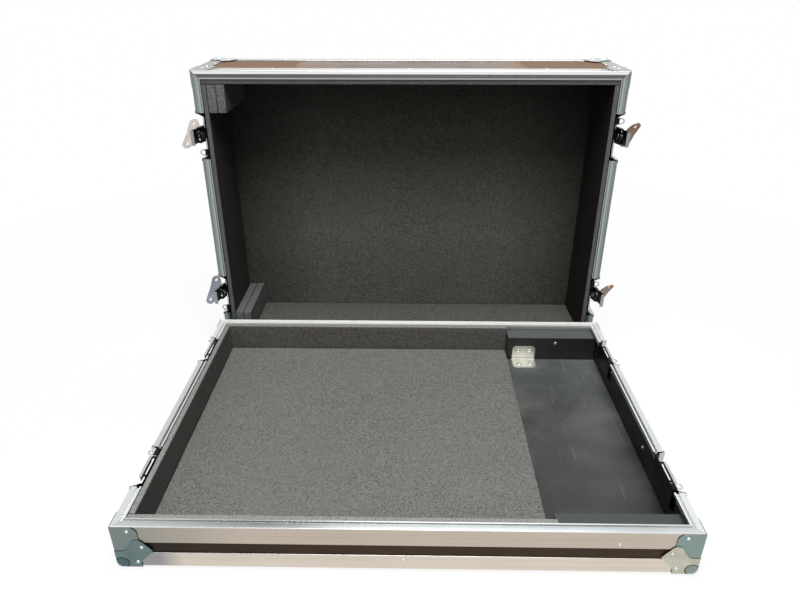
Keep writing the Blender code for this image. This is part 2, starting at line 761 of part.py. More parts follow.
def wing(fold, name):
    """Butterfly plate, standing out from its barrel, with a hole in each lobe."""
    half = WING_PLATE_THICK / 2
    outline = [(y, x) for y, x in wing_plate_outline()]
    mesh = bmesh.new()
    rings = []
    for z in (-half, half):
        rings.append([mesh.verts.new((x, y, z)) for y, x in outline])
    close_rings(mesh, rings)
    made = piece(name, mesh, fold, ZINC)
    barrel_half = EAR_FROM - GAP
    notch = EAR_FROM + EAR_PLATE + GAP
    for side in (-1, 1):
        low = min(side * barrel_half, side * (WAIST_HALF + OVERRUN))
        high = max(side * barrel_half, side * (WAIST_HALF + OVERRUN))
        room = box((-OVERRUN, low, -OVERRUN), (EAR_RADIUS + GAP, high, OVERRUN))
        cut(made, room, "ear_room_low" if side < 0 else "ear_room_high")
        hole = [(x + LOBE_OUT, y + side * LOBE_SPREAD) for x, y in arc(
            (0.0, 0.0), LOBE_HOLE, 0.0, math.tau * (1 - 1 / HOLE_STEPS), HOLE_STEPS - 1
        )]
        cut(made, prism(hole, -OVERRUN, OVERRUN, "z"), "lobe_hole_low" if side < 0 else "lobe_hole_high")
    join(made, round_bar((0.0, 0.0), WING_BARREL, -barrel_half, barrel_half, HOLE_STEPS), "barrel")
    cut(made, round_bar((0.0, 0.0), WING_PIN + RUNNING_FIT, -notch, notch, HOLE_STEPS), "pin_bore")


def latch_mechanism(latch, name, wing_turn):
    """Carrier, claw, spindle and wing of one latch, released: tilted out, with the wing standing.

    Half a turn of the spindle draws the claw back by twice the eccentric's throw.
    """
    lid_dish(latch, f"{name}_dish")
    swing = frame(
        f"{name}_swing",
        latch,
        (-PIVOT_DEPTH, 0.0, PIVOT_BACK),
        (0.0, -RELEASED_TILT, 0.0),
    )
    carrier(swing, f"{name}_carrier")
    drawn = 2 * CAM_THROW * wing_turn / math.pi
    claw(frame(f"{name}_reach", swing, (0.0, 0.0, drawn)), f"{name}_claw")
    turn = frame(f"{name}_turn", swing, (0.0, 0.0, -SPINDLE_BACK))
    spindle_parent = frame(f"{name}_head", turn, (0.0, 0.0, 0.0), (wing_turn, 0.0, 0.0))
    spindle(spindle_parent, f"{name}_spindle")
    fold = frame(f"{name}_fold", spindle_parent, (WING_AXIS, 0.0, 0.0))
    wing(fold, f"{name}_wing")


def latch_frame(half, name, side, along):
    """A frame on the outer face of a side wall, at the meeting plane and the middle of a latch."""
    turn = 0.0 if side > 0 else math.pi
    return frame(name, half, (side * HALF_WIDTH, along * LATCH_Y, 0.0), (0.0, 0.0, turn))


# Foam

def foam_profile(bottom):
    """The wall lining's section, notched under the rim's head, from its top edge to the given depth."""
    outer = RIM_INNER + GAP
    head = RIM_WIDTH + GAP
    return (
        (head, FOAM_SET),
        (FOAM_REACH, FOAM_SET),
        (FOAM_REACH, bottom),
        (outer, bottom),
        (outer, RIM_HEAD + GAP),
        (head, RIM_HEAD + GAP),
    )


def dish_room(side, along):
    """The space behind a dish, cut out of the foam."""
    outer = side * HALF_WIDTH
    inner = side * (HALF_WIDTH - DISH_DEEP - GAP)
    low = (min(outer, inner), along * LATCH_Y - DISH_HALF, -OVERRUN)
    high = (max(outer, inner), along * LATCH_Y + DISH_HALF, DISH_TALL)
    return box(low, high)


def base_foam(half, left_side):
    """Lining of the base's left part: two ends and the left wall in one strip, and the sheet on the floor."""
    floor_top = BASE_HEIGHT - PANEL_INNER - GAP
    bay = -left_side * BAY_FROM
    stations = (
        (bay, HALF_DEPTH, 0, -1),
        (left_side * HALF_WIDTH, HALF_DEPTH, -left_side, -1),
        (left_side * HALF_WIDTH, -HALF_DEPTH, -left_side, 1),
        (bay, -HALF_DEPTH, 0, 1),
    )
    walls = piece("base_foam_walls", swept(stations, foam_profile(floor_top)), half, FOAM)
    for along in (-1, 1):
        label = "front_dish" if along < 0 else "rear_dish"
        cut(walls, dish_room(left_side, along), label)
    reach = FOAM_REACH + GAP
    wall_x = left_side * (HALF_WIDTH - reach)
    low = (min(wall_x, bay), -HALF_DEPTH + reach, floor_top - FLOOR_FOAM)
    high = (max(wall_x, bay), HALF_DEPTH - reach, floor_top)
    piece("base_foam_floor", box(low, high), half, FOAM)


def lid_foam(half, left_side):
    """Lining of the whole lid as a tray, and the two blocks in its left corners."""
    back = LID_HEIGHT - PANEL_INNER - GAP
    outer = RIM_INNER + GAP
    head = RIM_WIDTH + GAP
    span = HALF_WIDTH - outer
    depth = HALF_DEPTH - outer
    liner = piece(
        "lid_foam_liner",
        box((-span, -depth, RIM_HEAD + GAP), (span, depth, back)),
        half,
        FOAM,
    )
    join(
        liner,
        box(
            (-HALF_WIDTH + head, -HALF_DEPTH + head, FOAM_SET),
            (HALF_WIDTH - head, HALF_DEPTH - head, RIM_HEAD + GAP + FOAM_BACK),
        ),
        "front_lip",
    )
    room_x = HALF_WIDTH - FOAM_REACH
    room_y = HALF_DEPTH - FOAM_REACH
    cut(liner, box((-room_x, -room_y, -OVERRUN), (room_x, room_y, back - FOAM_BACK)), "inside")
    for side in (-1, 1):
        for along in (-1, 1):
            cut(liner, dish_room(side, along), f"dish_{side + 1}_{along + 1}")
    for along, word in ((-1, "front"), (1, "rear")):
        near_x = left_side * (room_x - GAP)
        far_x = left_side * (room_x - GAP - FOAM_BLOCK_WIDE)
        near_y = along * (room_y - GAP)
        far_y = along * (room_y - GAP - FOAM_BLOCK_TALL)
        low = (min(near_x, far_x), min(near_y, far_y), FOAM_SET)
        high = (max(near_x, far_x), max(near_y, far_y), back - FOAM_BACK - GAP)
        piece(f"lid_foam_block_{word}", box(low, high), half, FOAM)


# Cable bay

def bay_blocks(half, right_side):
    """The wooden blocks at both ends of the bay, standing on the floor against the end walls."""
    floor_top = BASE_HEIGHT - PANEL_INNER - GAP
    near = right_side * (BAY_FROM + GAP)
    far = right_side * (HALF_WIDTH - RIM_INNER - GAP)
    for along, word in ((-1, "front"), (1, "rear")):
        outer = along * (HALF_DEPTH - RIM_INNER - GAP)
        inner = along * (HALF_DEPTH - BAY_BLOCK_REACH)
        low = (min(near, far), min(outer, inner), BAY_BLOCK_DROP)
        high = (max(near, far), max(outer, inner), floor_top)
        piece(f"bay_{word}_block", box(low, high), half, PLYWOOD)


def bay_bracket(half, right_side):
    """Steel angle that ties the rear block to the floor, with rounded free corners."""
    floor_top = BASE_HEIGHT - PANEL_INNER - GAP
    face = HALF_DEPTH - BAY_BLOCK_REACH - GAP
    near = BAY_FROM + BRACKET_SET
    low_x = min(right_side * near, right_side * (near + BRACKET_WIDE))
    high_x = low_x + BRACKET_WIDE
    section = (
        (face, floor_top),
        (face, floor_top - BRACKET_TALL),
        (face - BRACKET_PLATE, floor_top - BRACKET_TALL),
        (face - BRACKET_PLATE, floor_top - BRACKET_PLATE),
        (face - BRACKET_DEEP, floor_top - BRACKET_PLATE),
        (face - BRACKET_DEEP, floor_top),
    )
    made = piece("bay_bracket", prism(section, low_x, high_x, "x"), half, ZINC)
    for end, inward in ((low_x, 1), (high_x, -1)):
        label = "low" if inward > 0 else "high"
        corner_x = end - inward * OVERRUN
        centre_x = end + inward * BRACKET_ROUND
        start = math.pi if inward > 0 else 0.0
        centre_z = floor_top - BRACKET_TALL + BRACKET_ROUND
        top = [(corner_x, centre_z)]
        top += arc((centre_x, centre_z), BRACKET_ROUND, start, -math.pi / 2 + math.tau * (inward > 0), BRACE_STEPS)
        top += [(centre_x, centre_z - BRACKET_ROUND - OVERRUN), (corner_x, centre_z - BRACKET_ROUND - OVERRUN)]
        cut(made, prism(top, face - BRACKET_PLATE - OVERRUN, face + OVERRUN, "y"), f"round_top_{label}")
        centre_y = face - BRACKET_DEEP + BRACKET_ROUND
        foot = [(corner_x, centre_y)]
        foot += arc((centre_x, centre_y), BRACKET_ROUND, start, -math.pi / 2 + math.tau * (inward > 0), BRACE_STEPS)
        foot += [(centre_x, centre_y - BRACKET_ROUND - OVERRUN), (corner_x, centre_y - BRACKET_ROUND - OVERRUN)]
        cut(made, prism(foot, floor_top - BRACKET_PLATE - OVERRUN, floor_top + OVERRUN, "z"), f"round_foot_{label}")


# The whole case

def base():
    """The tray, upside down in its half's frame: the frame's +x is the case's left."""
    half = frame("base", None, (0.0, BASE_Y, RIM_HEIGHT), (0.0, math.pi, 0.0))
    names = {1: "left", -1: "right"}
    panels(half, names, BASE_HEIGHT, "floor")
    rims(half, names, tongue=False, braces=False)
    edge_angles(half, BASE_HEIGHT)
    for side, word in names.items():
        for along, end in ((-1, "front"), (1, "rear")):
            ball_corner(half, f"base_{end}_{word}_corner", side, along, BASE_HEIGHT, True)
            latch = latch_frame(half, f"{end}_{word}_keeper_frame", side, along)
            keeper(latch, f"{word}_{end}_keeper")
    base_foam(half, 1)
    bay_blocks(half, -1)
    bay_bracket(half, -1)


def lid():
    """The lid, tipped back onto its rear wall: its frame's z points to the case's rear."""
    half = frame("lid", None, (0.0, LID_Y, LID_MIDDLE), (-math.pi / 2, 0.0, 0.0))
    names = {-1: "left", 1: "right"}
    panels(half, names, LID_HEIGHT, "top")
    rims(half, names, tongue=True, braces=True)
    edge_angles(half, LID_HEIGHT)
    for side, word in names.items():
        for along, end in ((-1, "front"), (1, "rear")):
            ball_corner(half, f"lid_{end}_{word}_corner", side, along, LID_HEIGHT, False)
            latch = latch_frame(half, f"{end}_{word}_latch_frame", side, along)
            wing_turn = LEFT_WING_TURN if word == "left" else RIGHT_WING_TURN
            latch_mechanism(latch, f"{word}_{end}_latch", wing_turn)
    lid_foam(half, -1)


for old in list(bpy.data.objects):
    bpy.data.objects.remove(old)

PLYWOOD = material("black_laminate", (0.020, 0.016, 0.013), 0.35, 0.0)
ALUMINIUM = material("aluminium", (0.78, 0.78, 0.77), 0.28, 1.0)
ZINC = material("zinc_plate", (0.55, 0.58, 0.58), 0.30, 1.0)
DARK_STEEL = material("dark_steel", (0.08, 0.08, 0.08), 0.40, 1.0)
FOAM = material("foam", (0.13, 0.13, 0.125), 0.95, 0.0)

base()
lid()
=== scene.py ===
"""Looks for the mixer flight case: a foam-lined base tray, and its lift-off lid behind it."""

import math

import bmesh
import bpy
from mathutils import Matrix, Vector, noise


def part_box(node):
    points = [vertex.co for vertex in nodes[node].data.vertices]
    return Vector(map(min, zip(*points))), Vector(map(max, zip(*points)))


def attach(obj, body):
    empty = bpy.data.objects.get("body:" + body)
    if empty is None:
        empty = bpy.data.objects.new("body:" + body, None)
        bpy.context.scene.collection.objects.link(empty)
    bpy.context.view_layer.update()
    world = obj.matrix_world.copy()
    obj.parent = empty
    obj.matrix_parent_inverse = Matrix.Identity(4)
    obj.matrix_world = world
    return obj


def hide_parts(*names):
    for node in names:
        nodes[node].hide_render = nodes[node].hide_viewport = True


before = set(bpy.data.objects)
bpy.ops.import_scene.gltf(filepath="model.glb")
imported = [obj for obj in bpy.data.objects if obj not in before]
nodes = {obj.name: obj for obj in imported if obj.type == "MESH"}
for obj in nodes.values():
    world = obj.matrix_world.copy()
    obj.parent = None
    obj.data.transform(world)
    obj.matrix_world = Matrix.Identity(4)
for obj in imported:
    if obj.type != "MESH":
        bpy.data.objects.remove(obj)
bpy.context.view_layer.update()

# The case, in metres. The frame gives the sizes that a node shows.
SHELL_LOW, SHELL_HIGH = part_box("base_edge_angles")
LID_LOW, LID_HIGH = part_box("lid_edge_angles")
HALF_WIDTH = (SHELL_HIGH[0] - SHELL_LOW[0]) / 2
HALF_DEPTH = (SHELL_HIGH[1] - SHELL_LOW[1]) / 2
BALL_PROUD = SHELL_LOW[2]
RIM_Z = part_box("base_front_rim")[1][2]
BASE_Y = (SHELL_HIGH[1] + SHELL_LOW[1]) / 2
BASE_HEIGHT = RIM_Z - BALL_PROUD
LID_HEIGHT = 0.200
LID_Y = LID_HIGH[1] - LID_HEIGHT
LID_MIDDLE = (LID_HIGH[2] + LID_LOW[2]) / 2
LATCH_Y = 0.200
PANEL_FACE = 0.0111
FLOOR_DEPTH = BASE_HEIGHT - PANEL_FACE
LID_BACK_DEPTH = LID_HEIGHT - PANEL_FACE
BALL_RADIUS = 0.0145
BALL_INSET = 0.0085
WING_THICK = 0.0020
BRACE_THICK = 0.0012
RIM_WIDE = 0.019
RIM_DEEP = 0.020

# The cable bay: where it starts, its blocks' inner faces, and the bracket in its rear corner
BAY_FROM = 0.247
BAY_FACE = 0.2865
BRACKET_THICK = 0.0020
BRACKET_HOLES_X = (0.2745, 0.3025)

# The foam: from the case's outer face to its outer and its inner face, and its gaps to the rest
FOAM_LIP = 0.0193
FOAM_REACH = 0.0295
FOAM_SHEET = 0.012
FOAM_FLOOR_DEPTH = FLOOR_DEPTH - FOAM_SHEET
LID_FOAM_DEPTH = LID_BACK_DEPTH - FOAM_SHEET
FOAM_BELOW_RIM = 0.0012
FOAM_OFF_PANEL = 0.0004
FOAM_END_GAP = 0.0006
STRIP_EDGE = 0.0018
SHEET_EDGE = 0.0022
STRIP_SWELL = 0.0007
SHEET_SWELL = 0.0012
FOAM_GRID = 0.018
BLOCK_LAYER = 0.0200
BLOCK_LONG = 0.0620
BLOCK_GAP = 0.0008
BLOCK_EDGE = 0.0016

# Rivets as (radius, height)
CORNER_RIVET = (0.0031, 0.0024)
DISH_RIVET = (0.0022, 0.0018)
EDGE_RIVET = (0.0027, 0.0016)
BAY_RIVET = (0.0042, 0.0028)

BLACK = (0.0, 0.0, 0.0)
# The colour of the painted shade in creases and round the balls' seats
CREASE_SHADE = (0.004, 0.006, 0.006)

# Each half's own frame: x across, y from the closed case's front to its rear, and z away from the
# meeting plane. In the base x runs against the case's x.
HALVES = {
    "base": Matrix.Translation((0.0, BASE_Y, RIM_Z)) @ Matrix.Rotation(math.pi, 4, "Y"),
    "lid": Matrix.Translation((0.0, LID_Y, LID_MIDDLE)) @ Matrix.Rotation(-math.pi / 2, 4, "X"),
}


# Shader helpers

def shader_of(made):
    return made.node_tree, made.node_tree.nodes["Principled BSDF"]


def tree_of(name):
    made = bpy.data.materials.new(name)
    made.use_nodes = True
    return made, *shader_of(made)


def add(tree, kind, **settings):
    node = tree.nodes.new(kind)
    for key, value in settings.items():
        if key in node.inputs:
            node.inputs[key].default_value = value
        else:
            setattr(node, key, value)
    return node


def link(tree, start, end):
    tree.links.new(start, end)


def place(tree, scale=(1.0, 1.0, 1.0), turn=(0.0, 0.0, 0.0)):
    """The spot on the object, scaled and turned."""
    coordinates = add(tree, "ShaderNodeTexCoord")
    mapping = add(tree, "ShaderNodeMapping", Scale=scale, Rotation=turn)
    link(tree, coordinates.outputs["Object"], mapping.inputs["Vector"])
    return mapping.outputs["Vector"]


def axes_of(tree, vector):
    """A vector's three parts, by axis."""
    parts = add(tree, "ShaderNodeSeparateXYZ")
    link(tree, vector, parts.inputs["Vector"])
    return parts.outputs


def spot_of(tree):
    return axes_of(tree, place(tree))


def normal_of(tree):
    return axes_of(tree, add(tree, "ShaderNodeNewGeometry").outputs["Normal"])


def length_of(tree, vector):
    node = add(tree, "ShaderNodeVectorMath", operation="LENGTH")
    link(tree, vector, node.inputs[0])
    return node.outputs["Value"]


def noise_of(tree, vector, scale, detail=4.0, roughness=0.55):
    node = add(tree, "ShaderNodeTexNoise", Scale=scale, Detail=detail, Roughness=roughness)
    link(tree, vector, node.inputs["Vector"])
    return node.outputs["Fac"]


def ramp(tree, value, stops):
    node = add(tree, "ShaderNodeValToRGB")
    elements = node.color_ramp.elements
    while len(elements) < len(stops):
        elements.new(0.5)
    for element, (position, colour) in zip(elements, stops):
        element.position = position
        element.color = (*colour, 1.0)
    link(tree, value, node.inputs["Fac"])
    return node.outputs["Color"]


def spread(tree, value, low, high, to_low, to_high):
    """Carry a value from one range over to another, and hold it at both ends."""
    node = add(tree, "ShaderNodeMapRange")
    ends = zip(("From Min", "From Max", "To Min", "To Max"), (low, high, to_low, to_high))
    for key, number in ends:
        node.inputs[key].default_value = number
    link(tree, value, node.inputs["Value"])
    return node.outputs["Result"]


def math_of(tree, operation, first, second):
    node = add(tree, "ShaderNodeMath", operation=operation)
    for socket, value in zip(node.inputs, (first, second)):
        if isinstance(value, (int, float)):
            socket.default_value = value
        else:
            link(tree, value, socket)
    return node.outputs["Value"]


def absolute(tree, value):
    return math_of(tree, "ABSOLUTE", value, 0.0)


def mix_colour(tree, factor, first, second, blend="MIX"):
    node = add(tree, "ShaderNodeMix", data_type="RGBA", blend_type=blend)
    sockets = node.inputs[0], node.inputs[6], node.inputs[7]
    for socket, value in zip(sockets, (factor, first, second)):
        if isinstance(value, (int, float)):
            socket.default_value = value
        elif isinstance(value, (tuple, list)):
            socket.default_value = (*value, 1.0)
        else:
            link(tree, value, socket)
    return node.outputs[2]


def paint_over(tree, shader, factor, colour, blend="MIX"):
    """Mix a colour into the one that the shader has so far."""
    plain = shader.inputs["Base Color"].links[0].from_socket
    link(tree, mix_colour(tree, factor, plain, colour, blend), shader.inputs["Base Color"])


def bump(tree, shader, height, strength, distance, after=None):
    node = add(tree, "ShaderNodeBump", Strength=strength, Distance=distance)
    link(tree, height, node.inputs["Height"])
    if after:
        link(tree, after, node.inputs["Normal"])
    if shader:
        link(tree, node.outputs["Normal"], shader.inputs["Normal"])
    return node.outputs["Normal"]


def edge_wear(tree, radius):
    """1 where a surface turns: the difference between the rounded and the true normal."""
    bevel = add(tree, "ShaderNodeBevel", Radius=radius)
    bevel.samples = 4
    geometry = add(tree, "ShaderNodeNewGeometry")
    dot = add(tree, "ShaderNodeVectorMath", operation="DOT_PRODUCT")
    link(tree, bevel.outputs["Normal"], dot.inputs[0])
    link(tree, geometry.outputs["Normal"], dot.inputs[1])
    return spread(tree, dot.outputs["Value"], 1.0, 0.92, 0.0, 1.0)


# Materials

def insets(tree, spot, standing):
    """Distance in from the case's outer edge, and 1 where that edge is an end's, not a side's.

    The ends' edges are told by z in the lid, which stands up, and by y in the base.
    """
    along, centre = ("Z", LID_MIDDLE) if standing else ("Y", BASE_Y)
    away = math_of(tree, "SUBTRACT", spot[along], centre)
    end = math_of(tree, "SUBTRACT", HALF_DEPTH, absolute(tree, away))
    side = math_of(tree, "SUBTRACT", HALF_WIDTH, absolute(tree, spot["X"]))
    return math_of(tree, "MINIMUM", end, side), math_of(tree, "LESS_THAN", end, side)


def banded(tree, inset, bands):
    """A colour by the distance in from the edge: bands hold (distance, colour)."""
    share = spread(tree, inset, 0.0, RIM_WIDE, 0.0, 1.0)
    return ramp(tree, share, [(distance / RIM_WIDE, colour) for distance, colour in bands])


def rim_colour(tree, spot, inset, on_end, bands, painted_lit_ends):
    """The painted highlight and shade bands of the face where the halves meet, one set at the ends
    and one at the sides.
    """
    end_bands, side_bands = bands
    rim = mix_colour(tree, on_end, banded(tree, inset, side_bands), banded(tree, inset, end_bands))
    if painted_lit_ends:
        # Painted highlight: the rim is painted paler towards the corners
        near_corner = spread(tree, absolute(tree, spot["X"]), 0.24, 0.46, 0.0, 0.5)
        rim = mix_colour(tree, near_corner, rim, (0.88, 0.90, 0.90))
    return rim


def with_brace(tree, spot, along, tone):
    """The lid's walls, with the duller braces that are riveted round the rim's corners."""
    far = spot["X"] if along == 0 else math_of(tree, "SUBTRACT", spot["Z"], LID_MIDDLE)
    end = (HALF_WIDTH if along == 0 else HALF_DEPTH) - 0.060
    brace = spread(tree, absolute(tree, far), end - 0.002, end, 0.0, 1.0)
    return mix_colour(tree, brace, tone, (0.33, 0.34, 0.325))


def aluminium(name, along, wall, left_wall, bands, metallic=1.0, turns=(-0.44, -0.26)):
    """Drawn aluminium: fine die lines along one axis, painted highlight and shade in the rim's
    steps, and a few scuffs.

    The walls have one tone, which is painted reflected light, and another at the case's left end,
    which is painted shade. Turns are the places in x between which it changes. The face where the
    halves meet has bands of painted highlight and painted shade of its own.
    """
    made, tree, shader = tree_of(name)
    shader.inputs["Metallic"].default_value = metallic
    stretch = [620.0, 620.0, 620.0]
    stretch[along] = 2.0
    lines = noise_of(tree, place(tree, tuple(stretch)), 1.0, 2.0)
    clouds = noise_of(tree, place(tree), 5.0, 3.0, 0.5)
    scuffs = noise_of(tree, place(tree, (60.0, 60.0, 60.0)), 1.0, 6.0, 0.75)

    standing, *band_sets = bands
    opening, outward, plane = ("Y", -1.0, LID_Y) if standing else ("Z", 1.0, RIM_Z)
    spot = spot_of(tree)
    inset, on_end = insets(tree, spot, standing)
    open_side = math_of(tree, "MULTIPLY", normal_of(tree)[opening], outward)
    depth = math_of(tree, "SUBTRACT", spot[opening], plane)
    in_steps = math_of(tree, "LESS_THAN", absolute(tree, depth), RIM_DEEP)
    in_steps = math_of(tree, "MULTIPLY", in_steps, spread(tree, inset, 0.0006, 0.0016, 0.0, 1.0))
    facing_gap = spread(tree, open_side, 0.35, 0.75, 0.0, 1.0)
    on_rim = math_of(tree, "MAXIMUM", facing_gap, in_steps)
    # Painted light: the walls' reflected tone, with painted shade towards the case's left end
    tone = mix_colour(tree, spread(tree, spot["X"], *turns, 0.0, 1.0), left_wall, wall)
    if standing:
        tone = with_brace(tree, spot, along, tone)
    painted_lit_ends = along == 0 and not standing
    rim = rim_colour(tree, spot, inset, on_end, band_sets, painted_lit_ends)

    # Painted highlight and shade: the rim's bands on the meeting face and in its steps
    colour = mix_colour(tree, on_rim, tone, rim)
    dull = mix_colour(tree, 0.45, BLACK, colour)
    colour = mix_colour(tree, spread(tree, clouds, 0.35, 0.7, 0.12, 0.0), colour, dull)
    colour = mix_colour(tree, spread(tree, lines, 0.35, 0.70, 0.0, 0.20), colour, dull)
    link(tree, colour, shader.inputs["Base Color"])
    cloudy = spread(tree, clouds, 0.3, 0.7, 0.24, 0.32)
    scuffed = spread(tree, scuffs, 0.6, 0.8, 0.0, 0.16)
    link(tree, math_of(tree, "ADD", cloudy, scuffed), shader.inputs["Roughness"])
    first = bump(tree, None, lines, 0.20, 0.00005)
    bump(tree, shader, scuffs, 0.08, 0.00008, first)
    return made


def zinc(name, tone, patch, rough=0.30):
    """Zinc-plated steel: bluish, with faint cloudy patches, brighter on its edges."""
    made, tree, shader = tree_of(name)
    shader.inputs["Metallic"].default_value = 1.0
    clouds = noise_of(tree, place(tree), 38.0, 5.0, 0.65)
    grain = noise_of(tree, place(tree), 900.0, 2.0)
    colour = ramp(tree, clouds, ((0.30, patch), (0.65, tone)))
    bright = tuple(min(1.0, value * 1.9) for value in tone)
    colour = mix_colour(tree, edge_wear(tree, 0.0006), colour, bright)
    link(tree, colour, shader.inputs["Base Color"])
    roughness = spread(tree, clouds, 0.3, 0.7, rough - 0.06, rough + 0.12)
    link(tree, roughness, shader.inputs["Roughness"])
    bump(tree, shader, grain, 0.10, 0.00005)
    return made


def laminate(name, tone, dust, gloss, lustre=0.5, painted_shade=None):
    """Black laminate on plywood: fine pebbles, dust in clouds, wiping smears and short scratches.

    The last argument paints shade: it darkens the colour along an axis, given as the axis, two
    places, and the share of its colour at each.
    """
    made, tree, shader = tree_of(name)
    shader.inputs["Specular IOR Level"].default_value = lustre
    flat = place(tree)
    clouds = noise_of(tree, flat, 7.0, 6.0, 0.62)
    smears = noise_of(tree, place(tree, (5.0, 34.0, 20.0), (0.0, 0.0, 0.35)), 1.0, 5.0, 0.6)
    pebbles = noise_of(tree, flat, 1400.0, 2.0)
    specks = add(tree, "ShaderNodeTexVoronoi", Scale=190.0)
    link(tree, flat, specks.inputs["Vector"])
    speck = spread(tree, specks.outputs["Distance"], 0.02, 0.10, 0.8, 0.0)
    keep = spread(tree, noise_of(tree, flat, 31.0, 3.0), 0.56, 0.66, 0.0, 1.0)
    scratch = noise_of(tree, place(tree, (260.0, 9.0, 40.0), (0.0, 0.0, 0.9)), 1.0, 3.0)
    clouded = spread(tree, clouds, 0.42, 0.70, 0.0, 1.0)
    smeared = spread(tree, smears, 0.3, 0.7, 0.35, 1.0)
    colour = mix_colour(tree, math_of(tree, "MULTIPLY", clouded, smeared), tone, dust)
    pale_speck = tuple(value * 2.6 + 0.02 for value in dust)
    colour = mix_colour(tree, math_of(tree, "MULTIPLY", speck, keep), colour, pale_speck)
    pale_scratch = tuple(value * 1.8 + 0.02 for value in dust)
    colour = mix_colour(tree, spread(tree, scratch, 0.67, 0.74, 0.0, 0.5), colour, pale_scratch)
    # Painted shade: the colour darkens towards black along the axis
    if painted_shade:
        axis, *ends = painted_shade
        left_over = spread(tree, axes_of(tree, flat)[axis], *ends)
        colour = mix_colour(tree, left_over, BLACK, colour)
    link(tree, colour, shader.inputs["Base Color"])
    link(tree, spread(tree, clouds, 0.3, 0.7, gloss, gloss + 0.20), shader.inputs["Roughness"])
    bump(tree, shader, pebbles, 0.20, 0.00012)
    return made


def foam_relief(tree, flat, first, second):
    """The foam's face: two crossing diagonal waves, grain and pores."""
    wobble = spread(tree, noise_of(tree, flat, 30.0, 2.0), 0.0, 1.0, -1.2, 1.2)
    waves = []
    for pitch, lean in ((1450.0, 0.85), (1050.0, -1.1)):
        across = math_of(tree, "ADD", first, math_of(tree, "MULTIPLY", second, lean))
        slope = math_of(tree, "MULTIPLY", across, pitch)
        waves.append(math_of(tree, "SINE", math_of(tree, "ADD", slope, wobble), 0.0))
    weave = math_of(tree, "ADD", waves[0], math_of(tree, "MULTIPLY", waves[1], 0.45))
    weave = spread(tree, weave, -1.4, 1.4, 0.0, 0.35)
    grain = spread(tree, noise_of(tree, flat, 410.0, 2.0, 0.6), 0.3, 0.7, 0.0, 0.65)
    pores = math_of(tree, "MULTIPLY", noise_of(tree, flat, 900.0, 2.0, 0.7), 0.35)
    return math_of(tree, "ADD", math_of(tree, "ADD", weave, grain), pores)


def foam(name, tone, across, up, lustre=0.2, shade=None, edge=None, inner=False):
    """Dark foam faced with a fine diagonal weave, in the plane of two axes, speckled, with lint.

    Shade is painted shade, darker from a height on and towards the ends: two heights and the share
    of its colour below and above. Edge is the cut edge, painted paler as lit: the axis it ends on,
    where it starts and is full, and its colour. Inner marks a block, whose side in the case's shade
    is painted nearly black.
    """
    made, tree, shader = tree_of(name)
    shader.inputs["Roughness"].default_value = 0.92
    shader.inputs["Specular IOR Level"].default_value = lustre
    shader.inputs["Sheen Weight"].default_value = lustre
    shader.inputs["Sheen Roughness"].default_value = 0.5
    flat = place(tree)
    spot = axes_of(tree, flat)
    height = foam_relief(tree, flat, spot[across], spot[up])
    relief = spread(tree, height, 0.34, 0.96, 0.0, 1.0)
    dark = tuple(value * 0.30 for value in tone)
    light = tuple(min(1.0, value * 1.80) for value in tone)
    colour = ramp(tree, relief, ((0.1, dark), (0.9, light)))
    clouds = spread(tree, noise_of(tree, flat, 9.0, 4.0, 0.6), 0.35, 0.7, 0.02, 0.13)
    colour = mix_colour(tree, clouds, colour, light)
    lint = spread(tree, noise_of(tree, flat, 210.0, 2.0), 0.75, 0.79, 0.0, 0.4)
    colour = mix_colour(tree, lint, colour, tuple(value * 3.0 for value in tone))
    # Painted shade: darker from a height on and towards the ends
    if shade:
        left_over = spread(tree, spot["Z"], *shade)
        at_ends = spread(tree, absolute(tree, spot["X"]), 0.24, 0.44, 1.0, 0.55)
        colour = mix_colour(tree, math_of(tree, "MULTIPLY", left_over, at_ends), BLACK, colour)
    # Painted shade: the block's side is painted nearly black
    if inner:
        shaded = spread(tree, normal_of(tree)["X"], 0.3, 0.9, 0.0, 0.94)
        colour = mix_colour(tree, shaded, colour, BLACK)
    # Painted light: the cut edge is painted paler as lit
    if edge:
        axis, start, full, pale = edge
        at_edge = spread(tree, spot[axis], start, full, 0.0, 1.0)
        speckled = ramp(tree, relief, ((0.1, tuple(value * 0.5 for value in pale)), (0.9, pale)))
        colour = mix_colour(tree, at_edge, colour, speckled)
    link(tree, colour, shader.inputs["Base Color"])
    bump(tree, shader, height, 0.55, 0.0005)
    return made


# Bands of painted highlight and painted shade across the rims' meeting faces, as (distance in from
# the edge, colour)
BASE_END_BANDS = (
    (0.0000, (0.72, 0.72, 0.71)), (0.0020, (0.41, 0.425, 0.425)), (0.0050, (0.355, 0.37, 0.37)),
    (0.0080, (0.31, 0.325, 0.33)), (0.0100, (0.27, 0.285, 0.29)), (0.0115, (0.29, 0.305, 0.31)),
    (0.0128, (0.64, 0.65, 0.65)), (0.0150, (0.64, 0.65, 0.65)), (0.0168, (0.47, 0.48, 0.48)),
    (0.0190, (0.33, 0.34, 0.34)),
)
